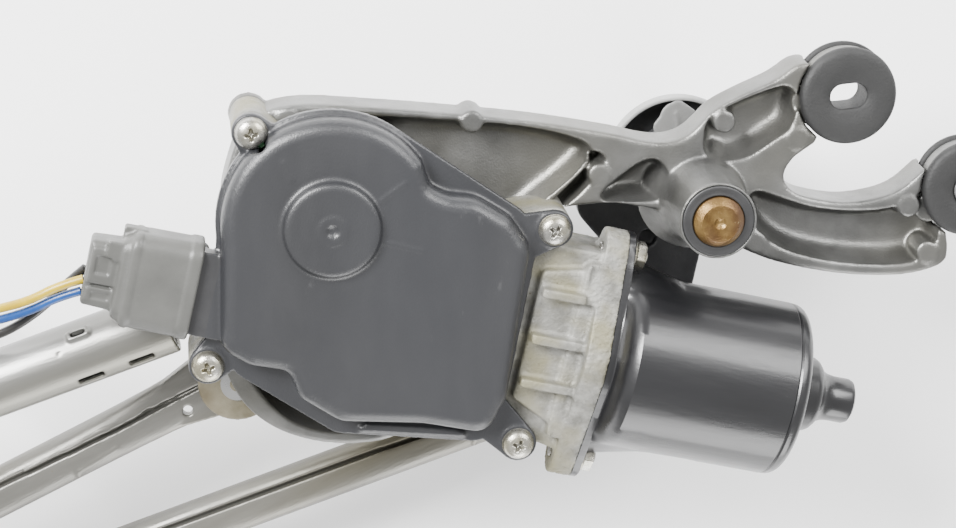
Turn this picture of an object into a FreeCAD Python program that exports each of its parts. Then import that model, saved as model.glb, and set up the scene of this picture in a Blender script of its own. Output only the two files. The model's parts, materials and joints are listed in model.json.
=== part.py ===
"""Windscreen wiper drive module: a geared motor, its die-cast bracket, a frame tube
and the crank, levers and links that turn two wiper pivots together.

The drawing frame has its origin on the crank axis, +Z along every turning axis and
towards the motor side. Each sub-part is drawn about its own axis and placed from there;
the finished module has its origin in the right-hand fixing ear, on the ear's bolt axis.
"""
import FreeCAD, Part
import math
import os
import re
import Sketcher
from FreeCAD import Placement, Rotation, Vector

SIZES = {
    # places in plan, from the crank axis
    "hold_x": 222.9, "hold_y": 8.4, "hold_level": 30.0,
    "near_x": 128.7, "near_y": 3.8,
    "far_x": -300.5, "far_y": -161.8,
    "upper_ear_x": 177.1, "upper_ear_y": 41.0,
    "tube_x": -53.0, "tube_y": -41.8, "tube_level": 26.0, "tube_length": 213.0,
    # linkage
    "drive_throw": 73.8, "crank_heading": -113.5,
    "coupling_throw": 76.7, "lever_heading": -97.7,
    "crank_low": 13.0, "crank_high": 18.0,
    "lever_low": -9.0, "lever_high": -4.0,
    "drive_link_level": 4.5, "coupling_link_level": -17.5,
    "ball_radius": 6.5, "ball_gap": 0.1, "stud_radius": 4.4, "stud_hole": 4.5,
    "link_width": 17.0, "link_height": 13.0, "link_sheet": 1.4,
    # motor and gearbox
    "motor_tilt": -11.3, "worm_drop": 30.8, "worm_level": 40.0,
    "case_low": 24.2, "case_top": 47.4, "gasket_top": 48.0, "cover_top": 60.0,
    "wheel_house": 37.7, "case_inset": 3.4, "case_wall": 3.0, "socket_low": 40.5,
    "cover_wall": 2.5, "ear_radius": 6.5, "flange_low": 94.0, "flange_face": 102.0,
    "can_end": 171.0, "yoke_end": 180.0, "yoke_radius": 30.3, "yoke_sheet": 2.2, "motor_ear": 37.0,
    "armature_radius": 3.0, "output_radius": 5.0, "worm_radius": 4.0, "wheel_radius": 26.5,
    "bearing_low": 90.0, "brush_low": 105.0, "magnet_low": 116.0, "magnet_high": 166.0,
    "core_low": 122.0, "core_high": 160.0,
    # bracket casting
    "web_low": 20.0, "web_high": 24.0, "rim_high": 36.0, "rim_width": 3.4,
    "boss_radius": 13.1, "boss_low": -2.0, "boss_high": 63.0, "bush_radius": 10.0,
    "tube_radius": 11.3, "tube_bore": 9.5, "spigot_radius": 9.45,
    # pivots
    "shaft_radius": 8.5, "shaft_gap": 0.05, "shaft_top": 66.0, "seat_radius": 6.3,
    "seat_high": -30.0, "seat_low": -40.0, "thread_low": -50.0,
    # fixing ears
    "eye_radius": 16.0, "eye_low": 26.5, "eye_high": 33.5,
    "grommet_radius": 16.9, "grommet_neck": 11.5, "grommet_low": 22.0, "grommet_high": 38.0,
    "sleeve_radius": 6.0, "sleeve_bore": 4.2,
    # wires
    "wire_diameter": 3.1,
}

doc = FreeCAD.newDocument("wiper_module")
sheet = doc.addObject("Spreadsheet::Sheet", "Dims")
for row, (word, value) in enumerate(SIZES.items(), start=1):
    sheet.set("A%d" % row, word)
    sheet.set("B%d" % row, str(value))
    sheet.setAlias("B%d" % row, word)
doc.recompute()


def d(word):
    """A size, read from the sheet."""
    return float(sheet.get(word))


def amount(words):
    """The value of a sum of sizes and numbers, such as "case_top - case_wall"."""
    total = 0.0
    for term in str(words).replace("- ", "+ -").split("+ "):
        term = term.strip()
        sign = -1.0 if term.startswith("-") else 1.0
        term = term.lstrip("-").strip()
        if term:
            total += sign * (d(term) if term in SIZES else float(term))
    return total


def bind(thing, path, words):
    """Bind one property to the sheet."""
    thing.setExpression(path, re.sub(r"[a-z]\w*", lambda word: "Dims." + word.group(0), str(words)))


# ---------------------------------------------------------------- places

def place(x=0.0, y=0.0, level=0.0, turn=0.0):
    """A place given from the crank axis, turned about +Z."""
    base = Vector(x - d("hold_x"), y - d("hold_y"), level - d("hold_level"))
    return Placement(base, Rotation(Vector(0, 0, 1), turn))


def heading(degrees, reach):
    """The point at this reach from an axis, in the given direction."""
    angle = math.radians(degrees)
    return reach * math.cos(angle), reach * math.sin(angle)


LINK_TURN = math.degrees(math.atan2(d("far_y") - d("near_y"), d("far_x") - d("near_x")))
PLAIN = place()
MOTOR = place(turn=d("motor_tilt"))
NEAR = place(d("near_x"), d("near_y"))
FAR = place(d("far_x"), d("far_y"))
TUBE = place(d("tube_x"), d("tube_y"), 0.0, LINK_TURN)
CRANK_BALL = heading(d("crank_heading"), d("drive_throw"))
LEVER_BALL = heading(d("lever_heading"), d("coupling_throw"))
# along the motor's own axis, +Z of the sub-part pointing from the gearbox to the motor
SPIN = MOTOR.multiply(Placement(Vector(0, -d("worm_drop"), d("worm_level")),
                                Rotation(Vector(0, 1, 0), 90)))
ALONG_TUBE = TUBE.multiply(Placement(Vector(0, 0, d("tube_level")), Rotation(Vector(0, 1, 0), 90)))


# ---------------------------------------------------------------- outlines

def rounded(corners):
    """A closed outline through corners (x, y, corner radius)."""
    count = len(corners)
    starts, ends, bends = [], [], []
    for i in range(count):
        here = Vector(corners[i][0], corners[i][1], 0)
        before = Vector(corners[i - 1][0], corners[i - 1][1], 0) - here
        after = Vector(corners[(i + 1) % count][0], corners[(i + 1) % count][1], 0) - here
        half = before.getAngle(after) / 2
        reach = corners[i][2] / math.tan(half)
        before.normalize()
        after.normalize()
        middle = (before + after).normalize()
        crown = here + middle * (corners[i][2] / math.sin(half) - corners[i][2])
        starts.append(here + before * reach)
        ends.append(here + after * reach)
        bends.append(crown if corners[i][2] > 0 else None)
    edges = []
    for i in range(count):
        if bends[i]:
            edges.append(Part.Arc(starts[i], bends[i], ends[i]))
        edges.append(Part.LineSegment(ends[i], starts[(i + 1) % count]))
    return edges


def belt(*circles):
    """The outline of a belt round circles (x, y, radius), listed anticlockwise."""
    edges = []
    touches = []
    count = len(circles)
    for i in range(count):
        x0, y0, r0 = circles[i]
        x1, y1, r1 = circles[(i + 1) % count]
        along = math.atan2(y1 - y0, x1 - x0)
        lean = along - math.acos((r0 - r1) / math.hypot(x1 - x0, y1 - y0))
        touches.append((Vector(x0 + r0 * math.cos(lean), y0 + r0 * math.sin(lean), 0),
                        Vector(x1 + r1 * math.cos(lean), y1 + r1 * math.sin(lean), 0), lean))
    for i in range(count):
        x0, y0, r0 = circles[i]
        arrive, leave = touches[i - 1][2], touches[i][2]
        middle = arrive + ((leave - arrive) % (2 * math.pi)) / 2
        crown = Vector(x0 + r0 * math.cos(middle), y0 + r0 * math.sin(middle), 0)
        edges.append(Part.Arc(touches[i - 1][1], crown, touches[i][0]))
        edges.append(Part.LineSegment(touches[i][0], touches[i][1]))
    return edges


def box(x0, x1, y0, y1, corner=0.0):
    """A rectangle's outline."""
    return rounded([(x0, y0, corner), (x1, y0, corner), (x1, y1, corner), (x0, y1, corner)])


def inset(edges, width):
    """The same outline, moved inwards by a width."""
    wire = Part.Wire([edge.toShape() for edge in edges])
    inner = wire.makeOffset2D(-width)
    found = []
    for edge in Part.__sortEdges__(inner.Edges):
        first, last = edge.valueAt(edge.FirstParameter), edge.valueAt(edge.LastParameter)
        middle = edge.valueAt((edge.FirstParameter + edge.LastParameter) / 2)
        straight = isinstance(edge.Curve, Part.Line)
        found.append(Part.LineSegment(first, last) if straight else Part.Arc(first, middle, last))
    return found


def ring(words, x=0.0, y=0.0):
    """A circle whose radius is bound to the sheet."""
    return (words, x, y)


# ---------------------------------------------------------------- bodies

class Piece:
    """One PartDesign body, grown by pads, pockets and revolutions."""

    def __init__(self, label, where):
        self.body = doc.addObject("PartDesign::Body", label)
        self.body.Label = label
        self.body.Placement = where
        FINISHED.append(self.body)

    def plane(self, role):
        return next(f for f in self.body.Origin.OriginFeatures if f.Role == role)

    def sketch(self, plane, level):
        made = self.body.newObject("Sketcher::SketchObject", "outline")
        made.AttachmentSupport = [(self.plane(plane), "")]
        made.MapMode = "FlatFace"
        bind(made, "AttachmentOffset.Base.z", level)
        return made

    def draw(self, loops, plane, level):
        made = self.sketch(plane, level)
        for loop in loops:
            if isinstance(loop, tuple):
                words, x, y = loop
                circle = Part.Circle(Vector(x, y, 0), Vector(0, 0, 1), amount(words))
                index = made.addGeometry(circle, False)
                held = made.addConstraint(Sketcher.Constraint("Radius", index, amount(words)))
                bind(made, "Constraints[%d]" % held, words)
            else:
                made.addGeometry(loop, False)
        return made

    def pad(self, loops, low, high, plane="XY_Plane"):
        """Add material between two levels."""
        made = self.body.newObject("PartDesign::Pad", "pad")
        made.Profile = self.draw(loops, plane, low)
        bind(made, "Length", "%s - (%s)" % (high, low))
        self.body.Tip = made
        return self

    def pocket(self, loops, low, high, plane="XY_Plane"):
        """Take material away between two levels."""
        made = self.body.newObject("PartDesign::Pocket", "pocket")
        made.Profile = self.draw(loops, plane, high)
        bind(made, "Length", "%s - (%s)" % (high, low))
        self.body.Tip = made
        return self

    def turned(self, profile, cut=False):
        """Revolve a closed profile of (radius, level) corners about the piece's axis."""
        made = self.sketch("XZ_Plane", "0")
        corners = [Vector(amount(r), amount(z), 0) for r, z in profile]
        for i in range(len(corners)):
            made.addGeometry(Part.LineSegment(corners[i], corners[(i + 1) % len(corners)]), False)
        for i in range(len(corners)):
            made.addConstraint(Sketcher.Constraint("Coincident", i, 2, (i + 1) % len(corners), 1))
        for i, corner in enumerate(profile):
            for kind, axis, words in (("DistanceX", -2, corner[0]), ("DistanceY", -1, corner[1])):
                if abs(amount(words)) < 1e-9:
                    made.addConstraint(Sketcher.Constraint("PointOnObject", i, 1, axis))
                    continue
                held = made.addConstraint(Sketcher.Constraint(kind, -1, 1, i, 1, amount(words)))
                bind(made, "Constraints[%d]" % held, words)
        kind = "PartDesign::Groove" if cut else "PartDesign::Revolution"
        turn = self.body.newObject(kind, "turn")
        turn.Profile = made
        turn.ReferenceAxis = (made, ["V_Axis"])
        turn.Angle = 360.0
        self.body.Tip = turn
        return self

    def repeat(self, count):
        """Repeat the last feature round the piece's axis."""
        last = self.body.Tip
        made = self.body.newObject("PartDesign::PolarPattern", "repeat")
        made.Originals = [last]
        made.Axis = (self.plane("Z_Axis"), [""])
        made.Angle = 360.0
        made.Occurrences = count
        self.body.Tip = made
        return self


FINISHED = []


def cylinder(radius, low, high, x=0.0, y=0.0):
    made = doc.addObject("Part::Cylinder", "cylinder")
    bind(made, "Radius", radius)
    bind(made, "Height", "%s - (%s)" % (high, low))
    made.Placement.Base = Vector(x, y, amount(low))
    return made


def sphere(radius, level, x=0.0, y=0.0):
    made = doc.addObject("Part::Sphere", "sphere")
    bind(made, "Radius", radius)
    made.Placement.Base = Vector(x, y, amount(level))
    return made


def hexagon(across_flats, low, high):
    made = doc.addObject("Part::Prism", "hexagon")
    made.Polygon = 6
    bind(made, "Circumradius", "%s" % round(across_flats / math.sqrt(3), 3))
    bind(made, "Height", "%s - (%s)" % (high, low))
    made.Placement.Base = Vector(0, 0, amount(low))
    return made


def joined(label, where, parts):
    made = doc.addObject("Part::MultiFuse", label)
    made.Shapes = parts
    made.Label = label
    made.Placement = where
    FINISHED.append(made)
    return made


def lessened(label, where, base, tools):
    """A solid with others cut out of it."""
    made = doc.addObject("Part::Cut", label)
    made.Base = base
    tool = tools[0]
    if len(tools) > 1:
        tool = doc.addObject("Part::MultiFuse", "tools")
        tool.Shapes = tools
    made.Tool = tool
    made.Label = label
    made.Placement = where
    FINISHED.append(made)
    return made


def group(label, where, shapes):
    """Several separate solids that are one kind of fastener or pair."""
    made = doc.addObject("Part::Feature", label)
    made.Shape = Part.makeCompound(shapes)
    made.Label = label
    made.Placement = where
    FINISHED.append(made)
    return made


def solid_ring(outer, inner, low, high, at=(0.0, 0.0)):
    """A plain ring, for the pieces that are grouped."""
    foot = Vector(at[0], at[1], low)
    made = Part.makeCylinder(outer, high - low, foot)
    return made.cut(Part.makeCylinder(inner, high - low, foot)) if inner > 0 else made


# ---------------------------------------------------------------- gearbox

# plan of the gearbox beside its round wheel house, in the motor's own directions
CASE_PLAN = [(-34.0, -14.0, 5.0), (-27.0, -50.0, 5.0), (-6.0, -53.0, 4.0), (2.0, -60.5, 4.0),
             (20.0, -67.5, 6.0), (68.5, -61.5, 8.0), (71.0, -48.0, 6.0), (65.5, 9.5, 4.0),
             (43.0, 23.0, 8.0), (22.0, 28.0, 6.0)]
SCREWS = [(-32.2, 24.5), (74.3, 12.4), (-29.8, -57.1), (79.9, -64.2)]
EAR_ROOTS = [(-22.0, 17.0), (58.0, 4.0), (-20.0, -42.0), (58.0, -50.0)]
BRACKET_SCREWS = [SCREWS[0], SCREWS[1], SCREWS[3]]
SOCKET_V = -32.0
CASE_RIBS = (-9.0, -25.5, -41.5)


def gear_plan(work, low, high, steps=(), spare="0"):
    """The two overlapping shapes of the gearbox's plan, added or taken away by work.

    The plan shrinks by each named step, and grows by what is to be spare round it.
    """
    plan = rounded(CASE_PLAN)
    drop = sum(d(step) for step in steps) - float(spare)
    work([ring(" - ".join(("wheel_house",) + steps) + " + " + spare)], low, high)
    work([inset(plan, drop) if drop else plan], low, high)


def ears(piece, low, high):
    """The four screw ears, each joined to the gearbox wall."""
    for (x, y), (root_x, root_y) in zip(SCREWS, EAR_ROOTS):
        piece.pad([belt((x, y, d("ear_radius")), (root_x, root_y, 8.0))], low, high)


def gear_case():
    made = Piece("gear_case", MOTOR)
    gear_plan(made.pad, "case_low", "case_top", ("case_inset",))
    ears(made, "case_low", "case_top")
    # the end that carries the motor: a block, then the oval flange with its two ears
    end = d("flange_low") + 4.0
    made.pad([rounded([(56.0, -57.0, 2.0), (end, -66.5, 2.0), (end, 6.5, 2.0), (56.0, 6.5, 2.0)])],
             "case_low", "case_top")
    made.pad([rounded([(74.0, -48.5, 2.0), (end, -60.0, 2.0), (end, 2.5, 2.0), (74.0, -2.5, 2.0)])],
             "case_top", "51")
    axis = (-d("worm_drop"), d("worm_level"))
    made.pad([ring("yoke_radius + 1", *axis)], "flange_low", "flange_face", "YZ_Plane")
    for side in (-1, 1):
        ear = axis[0] + side * d("motor_ear")
        made.pad([belt((*axis, 20.0), (ear, axis[1], 8.0))], "flange_low", "flange_face", "YZ_Plane")
    for v in CASE_RIBS:
        made.pad([box(75.0, end - 2.0, v - 1.6, v + 1.6)], "50", "55.5")
    # output boss under the wheel, through the bracket's web
    made.pad([ring("10.5")], "19", "case_low")
    gear_plan(made.pocket, "case_low + 3.3", "case_top", ("case_inset", "case_wall"))
    made.pocket([ring("8")], "19", "case_low + 4")
    made.pocket([ring("7.5", *axis)], "58", "flange_face", "YZ_Plane")
    for x, y in SCREWS:
        made.pocket([ring("2.5", x, y)], "34", "case_top")
    for x, y in BRACKET_SCREWS:
        made.pocket([ring("2.5", x, y)], "case_low", "32")
    for side in (-1, 1):
        made.pocket([ring("2.5", axis[0] + side * d("motor_ear"), axis[1])], "flange_low",
                    "flange_face", "YZ_Plane")
    return made


def cover_gasket():
    made = Piece("cover_gasket", MOTOR)
    gear_plan(made.pad, "case_top", "gasket_top", ("case_inset",))
    gear_plan(made.pocket, "case_top", "gasket_top", ("case_inset", "case_wall"))


def gear_cover():
    made = Piece("gear_cover", MOTOR)
    low = d("socket_low")
    gear_plan(made.pad, "gasket_top", "cover_top")
    ears(made, "gasket_top", "gasket_top + 3")
    made.pad([ring("15.7")], "cover_top", "cover_top + 3")
    # connector socket on the left, open away from the gearbox
    made.pad([box(-54.0, -36.5, SOCKET_V - 15.0, SOCKET_V + 15.0, 1.0)], "socket_low",
             "socket_low + 15")
    made.pad([box(-38.0, -24.0, SOCKET_V - 15.0, SOCKET_V + 15.0)], "gasket_top",
             "socket_low + 15")
    gear_plan(made.pocket, "gasket_top", "cover_top - cover_wall", ("cover_wall",))
    made.pocket([box(SOCKET_V - 12.9, SOCKET_V + 12.9, low + 2.1, low + 12.9)], "-54", "-38",
                "YZ_Plane")
    made.pocket([box(SOCKET_V - 11.0, SOCKET_V + 11.0, 48.4, 50.25)], "-40", "-20", "YZ_Plane")
    for x, y in SCREWS:
        made.pocket([ring("2.7", x, y)], "gasket_top", "gasket_top + 3")
        made.pocket([ring("5.8", x, y)], "gasket_top + 3", "cover_top")


def fasteners():
    """Cover screws, bracket screws and motor screws, each kind in one group."""
    seat = d("gasket_top") + 3.0
    screws = []
    for x, y in SCREWS:
        head = solid_ring(5.4, 0.0, seat, seat + 3.4, (x, y))
        head = head.makeFillet(1.6, [edge for edge in head.Edges
                                     if edge.BoundBox.ZMin > seat + 3.3][:1])
        cross = Part.makeBox(6.0, 1.1, 2.0, Vector(x - 3.0, y - 0.55, seat + 1.8))
        cross = cross.fuse(Part.makeBox(1.1, 6.0, 2.0, Vector(x - 0.55, y - 3.0, seat + 1.8)))
        screws.append(head.cut(cross).fuse(solid_ring(2.45, 0.0, 35.0, seat, (x, y))))
    group("cover_screws", MOTOR, screws)
    low = d("web_low")
    bolts = []
    for x, y in BRACKET_SCREWS:
        head = solid_ring(5.0, 0.0, low - 4.0, low, (x, y))
        bolts.append(head.fuse(solid_ring(2.45, 0.0, low, 31.0, (x, y))))
    group("bracket_screws", MOTOR, bolts)
    face = d("flange_face") + 2.5
    bolts = []
    for side in (-1, 1):
        at = (0.0, side * d("motor_ear"))
        head = Part.makeCylinder(5.2, 4.0, Vector(at[0], at[1], face))
        bolts.append(head.fuse(solid_ring(2.45, 0.0, d("flange_low") + 1.0, face, at)))
    group("yoke_bolts", SPIN, bolts)


# ---------------------------------------------------------------- motor

def yoke():
    """Drawn steel can with an end boss for the rear bearing and a flange with two ears."""
    made = Piece("yoke", SPIN)
    made.pad([ring("yoke_radius")], "flange_face", "flange_face + 2.5")
    for side in (-1, 1):
        made.pad([belt((0.0, 0.0, 20.0), (0.0, side * d("motor_ear"), 8.0))], "flange_face",
                 "flange_face + 2.5")
    made.turned([("0", "flange_face + 1"), ("yoke_radius", "flange_face + 1"),
                 ("yoke_radius", "can_end - 4"), ("yoke_radius - 1.2", "can_end - 1.2"),
                 ("yoke_radius - 4", "can_end"), ("13.6", "can_end"), ("12.6", "yoke_end"),
                 ("9.4", "yoke_end + 4"), ("7.9", "yoke_end + 6"), ("7.9", "yoke_end + 13"),
                 ("6.5", "yoke_end + 14.5"),
                 ("0", "yoke_end + 14.5")])
    made.turned([("0", "flange_face"), ("yoke_radius - yoke_sheet", "flange_face"),
                 ("yoke_radius - yoke_sheet", "can_end - 4.4"), ("25.7", "can_end - 2"),
                 ("6.5", "can_end - 2"), ("6.5", "can_end + 7"), ("4", "can_end + 7"),
                 ("4", "can_end + 10.5"), ("0", "can_end + 10.5")], cut=True)
    for side in (-1, 1):
        made.pocket([ring("2.7", 0.0, side * d("motor_ear"))], "flange_face", "flange_face + 2.5")


MAGNET_SPAN = 140.0


def magnets():
    """Two arc magnets bonded inside the can."""
    outer = d("yoke_radius") - d("yoke_sheet")
    pair = []
    for middle in (90.0, 270.0):
        low, high = d("magnet_low"), d("magnet_high")
        tile = solid_ring(outer, outer - 5.6, low, high)
        wedge = Part.makeCylinder(outer + 1, high - low, Vector(0, 0, low), Vector(0, 0, 1), MAGNET_SPAN)
        wedge.rotate(Vector(0, 0, 0), Vector(0, 0, 1), middle - MAGNET_SPAN / 2)
        pair.append(tile.common(wedge))
    group("field_magnets", SPIN, pair)


def brush_gear():
    """The brush plate round the commutator, with a box for each brush and its spring."""
    low = d("brush_low")
    made = Piece("brush_holder", SPIN)
    made.pad([ring("27.5"), ring("13.5")], "brush_low", "brush_low + 2")
    for side in (-1, 1):
        x0, x1 = sorted((side * 14.0, side * 25.0))
        made.pad([box(x0, x1, -4.2, 4.2)], "brush_low + 2", "brush_low + 7")
    for side in (-1, 1):
        x0, x1 = sorted((side * 13.0, side * 24.0))
        made.pocket([box(x0, x1, -3.1, 3.1)], "brush_low + 1.5", "brush_low + 6")
    brushes, springs = [], []
    for side in (-1, 1):
        x0 = 11.15 if side > 0 else -19.15
        brushes.append(Part.makeBox(8.0, 6.0, 4.2, Vector(x0, -3.0, low + 1.6)))
        x0 = 19.15 if side > 0 else -23.95
        coil = Part.makeBox(4.8, 3.6, 3.6, Vector(x0, -1.8, low + 1.9))
        slots = [Part.makeBox(0.6, 3.0, 3.6, Vector(x0 + 0.9 + 1.2 * turn, -1.8 + 0.6 * (turn % 2),
                                                    low + 1.9)) for turn in range(3)]
        springs.append(coil.cut(Part.makeCompound(slots)))
    group("carbon_brushes", SPIN, brushes)
    group("brush_springs", SPIN, springs)


def bearings():
    gap = d("armature_radius") + 0.04
    made = Piece("rear_bearing", SPIN)
    made.pad([ring("6.5"), ring(str(gap))], "can_end - 1.5", "can_end + 6.5")
    made = Piece("front_bearing", SPIN)
    made.pad([ring("7.5"), ring(str(gap))], "bearing_low", "bearing_low + 8")
    made = Piece("shaft_thrust_pad", SPIN)
    made.pad([ring("4.5")], "-21", "-18.1")


def armature():
    made = Piece("armature_shaft", SPIN)
    made.turned([("0", "-18"), ("worm_radius - 1", "-18"), ("worm_radius", "-16"),
                 ("worm_radius", "22"), ("armature_radius", "24"),
                 ("armature_radius", "can_end + 8"), ("0", "can_end + 8")])
    made = Piece("armature_core", SPIN)
    made.pad([ring("21.6"), ring("armature_radius")], "core_low", "core_high")
    made.pocket([box(14.0, 22.5, -0.9, 0.9)], "core_low", "core_high").repeat(12)
    inner = d("armature_radius") + 1.0
    ends = [solid_ring(18.5, inner, d("core_low") - 6.0, d("core_low")),
            solid_ring(18.5, inner, d("core_high"), d("core_high") + 7.0)]
    group("armature_windings", SPIN, ends)
    made = Piece("commutator", SPIN)
    made.pad([ring("11"), ring("armature_radius")], "brush_low - 1.5", "brush_low + 9")
    made.pocket([box(10.2, 11.5, -0.3, 0.3)], "brush_low - 1.5", "brush_low + 9").repeat(12)


WHEEL_TEETH = 51


def output():
    """Worm wheel, its shaft, and the bush in the gear case."""
    made = Piece("worm_wheel", PLAIN)
    made.pad([ring("wheel_radius"), ring("output_radius")], "36", "44")
    made.pad([ring("12"), ring("output_radius")], "34.6", "46")
    root, past = d("wheel_radius") - 2.0, d("wheel_radius") + 0.3
    made.pocket([rounded([(root, -0.5, 0.0), (past, -0.9, 0.0), (past, 0.9, 0.0), (root, 0.5, 0.0)])],
                "36", "44").repeat(WHEEL_TEETH)
    made = Piece("output_shaft", PLAIN)
    made.turned([("0", "3.5"), ("3.4", "3.5"), ("4", "4.2"), ("4", "crank_low"),
                 ("output_radius", "crank_high"), ("output_radius", "48"), ("0", "48")])
    made = Piece("output_bush", PLAIN)
    made.pad([ring("8"), ring("output_radius + shaft_gap")], "19", "case_low + 3.3")
    made.pad([ring("10.2"), ring("output_radius + shaft_gap")], "case_low + 3.3", "34.3")


def electronics():
    made = Piece("circuit_board", MOTOR)
    made.pad([ring("33")], "50.3", "51.9")
    made.pad([rounded([(-30.0, -8.0, 2.0), (-22.0, -44.0, 2.0), (40.0, -50.0, 2.0), (40.0, 10.0, 2.0)])],
             "50.3", "51.9")
    blades = []
    for v in (-9.0, -3.0, 3.0, 9.0):
        blades.append(Part.makeBox(30.0, 2.2, 0.8, Vector(-50.0, SOCKET_V + v - 1.1, 49.4)))
    group("contact_blades", MOTOR, blades)
    made = Piece("connector_plug", MOTOR)
    low = d("socket_low")
    made.pad([box(-66.0, -39.0, SOCKET_V - 17.0, SOCKET_V + 17.0, 3.0)], "socket_low - 2",
             "socket_low + 17")
    made.pad([box(-76.0, -66.0, SOCKET_V - 12.0, SOCKET_V + 12.0, 2.0)], "socket_low + 1",
             "socket_low + 13")
    made.pocket([box(SOCKET_V - 15.2, SOCKET_V + 15.2, low - 0.2, low + 15.2)], "-54.2", "-39",
                "YZ_Plane")
    made.pad([box(-54.2, -41.0, SOCKET_V - 12.7, SOCKET_V + 12.7)], "socket_low + 2.3",
             "48.3")


# ---------------------------------------------------------------- bracket

BRACKET_PLAN = [(-36.0, 12.0, 8.0), (-31.0, 29.0, 8.0), (-13.0, 37.5, 10.0), (48.0, 33.9, 20.0),
                (113.0, 23.2, 14.0), (122.0, 27.0, 6.0), (132.0, 36.8, 8.0),
                (158.0, 50.5, 6.0), (172.0, 48.0, 5.0), (168.0, 24.5, 3.0), (158.5, 20.8, 4.0),
                (155.5, 9.5, 6.0), (166.0, 5.2, 10.0), (180.5, 3.5, 10.0), (197.0, 7.6, 8.0),
                (207.0, 18.0, 4.0), (220.0, 12.0, 3.0), (218.0, -13.0, 6.0), (198.5, -23.0, 12.0),
                (166.0, -21.0, 12.0), (146.0, -13.5, 6.0), (117.0, -1.2, 6.0), (93.0, 2.4, 6.0),
                (73.5, -1.7, 6.0), (46.0, -28.0, 8.0), (32.0, -83.5, 26.0), (-20.0, -83.5, 26.0),
                (-37.0, -48.0, 8.0)]
EJECTOR_BOSSES = [(-14.3, 31.2), (47.9, 30.2), (92.5, 12.9), (135.1, 31.4), (160.9, 26.0),
                  (201.0, 1.0), (148.0, -10.6)]


def main_bracket():
    """Die casting: a web with an upstanding rim, the near pivot's boss, two ears, a spigot."""
    made = Piece("main_bracket", PLAIN)
    plan = rounded(BRACKET_PLAN)
    made.pad([plan], "web_low", "web_high")
    made.pad([plan, inset(plan, d("rim_width"))], "web_low", "rim_high")
    # arm under the gearbox to its far lower screw
    made.pad([belt((16.0, -56.0, 9.0), (65.8, -78.6, 8.5))], "web_low", "web_high")
    for x, y in ((d("upper_ear_x"), d("upper_ear_y")), (d("hold_x"), d("hold_y"))):
        made.pocket([ring("grommet_radius + 0.4", x, y)], "web_low", "rim_high")
        made.pad([ring("eye_radius", x, y)], "eye_low", "eye_high")
        made.pocket([ring("grommet_neck", x, y)], "eye_low", "eye_high")
    made.pad([belt((150.0, 34.5, 9.0), (164.0, 38.5, 10.0))], "eye_low", "eye_high")
    made.pad([belt((204.0, -3.5, 9.0), (212.0, 2.0, 8.0))], "eye_low", "eye_high")
    for x, y in ((d("upper_ear_x"), d("upper_ear_y")), (d("hold_x"), d("hold_y"))):
        made.pocket([ring("grommet_neck", x, y)], "eye_low", "eye_high")
    # ribs between the rim and the pivot's boss
    made.pad([belt((64.0, 1.0, 2.0), (98.0, 20.0, 2.0))], "web_low", "rim_high - 2")
    made.pad([belt((91.0, 5.5, 2.0), (106.5, 18.5, 2.0))], "web_low", "rim_high - 1")
    made.pad([belt((106.5, 18.5, 2.0), (122.0, 14.0, 3.0))], "web_low", "rim_high - 1")
    made.pad([belt((128.0, 14.0, 3.0), (158.0, 26.0, 2.0))], "web_low", "rim_high - 1")
    for x, y in EJECTOR_BOSSES:
        made.pad([ring("3.8", x, y)], "web_low", "rim_high + 0.6")
    near = (d("near_x"), d("near_y"))
    made.pad([ring("boss_radius", *near)], "boss_low", "boss_high")
    made.pocket([ring("bush_radius", *near)], "boss_low", "boss_high")
    made.pocket([ring("12.2", *near)], "boss_high - 2", "boss_high")
    # opening for the gearbox's output boss, and a lightening hole
    made.pocket([ring("10.6")], "web_low", "web_high")
    made.pocket([ring("3.6", 98.0, 17.6)], "web_low", "web_high")
    tilt = Rotation(Vector(0, 0, 1), d("motor_tilt"))
    for x, y in BRACKET_SCREWS:
        at = tilt.multVec(Vector(x, y, 0))
        made.pad([ring("ear_radius", at.x, at.y)], "web_low", "case_low")
        made.pocket([ring("2.7", at.x, at.y)], "web_low", "case_low")
    return made


def spigot(start, end):
    """A round spigot along the frame tube's axis, for the tube to be crimped onto."""
    across = TUBE.Rotation.multVec(Vector(1, 0, 0))
    foot = TUBE.Base + across * start + Vector(0, 0, d("tube_level"))
    made = doc.addObject("Part::Cylinder", "spigot")
    bind(made, "Radius", "spigot_radius")
    made.Height = end - start
    made.Placement = Placement(foot, Rotation(Vector(0, 0, 1), across))
    return made


def gearbox_room():
    """The space that the gearbox takes above the web, with a little to spare."""
    made = Piece("gearbox_room", MOTOR)
    gear_plan(made.pad, "case_low", "case_top", ("case_inset",), "0.3")
    end = d("flange_face")
    made.pad([rounded([(56.0, -57.4, 2.0), (end, -67.5, 2.0), (end, 7.0, 2.0), (56.0, 7.0, 2.0)])],
             "case_low", "case_top")
    for (x, y), (root_x, root_y) in zip(SCREWS, EAR_ROOTS):
        made.pad([belt((x, y, d("ear_radius") + 0.3), (root_x, root_y, 8.3))], "case_low", "case_top")
    return made


def crank_room():
    """The space that the crank sweeps under the web."""
    made = cylinder("63", "0", "crank_high + 0.6")
    made.Placement = PLAIN.multiply(made.Placement)
    return made


def castings():
    """The bracket and the far housing, each with its spigot."""
    bracket = main_bracket()
    neck = spigot(-16.0, 34.0)
    collar = spigot(-16.0, -0.4)
    bind(collar, "Radius", "tube_radius + 0.6")
    FINISHED.remove(bracket.body)
    bracket.body.Label = "bracket_casting"
    whole = joined("bracket_blank", Placement(), [bracket.body, neck, collar])
    room = gearbox_room()
    lessened("main_bracket", Placement(), whole, [room.body, crank_room()])
    FINISHED.remove(whole)
    FINISHED.remove(room.body)
    far = far_housing()
    end = d("tube_length")
    neck = spigot(end - 34.0, end + 20.0)
    collar = spigot(end + 0.4, end + 20.0)
    bind(collar, "Radius", "tube_radius + 0.6")
    FINISHED.remove(far.body)
    far.body.Label = "far_casting"
    joined("far_pivot_housing", Placement(), [far.body, neck, collar])


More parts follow.
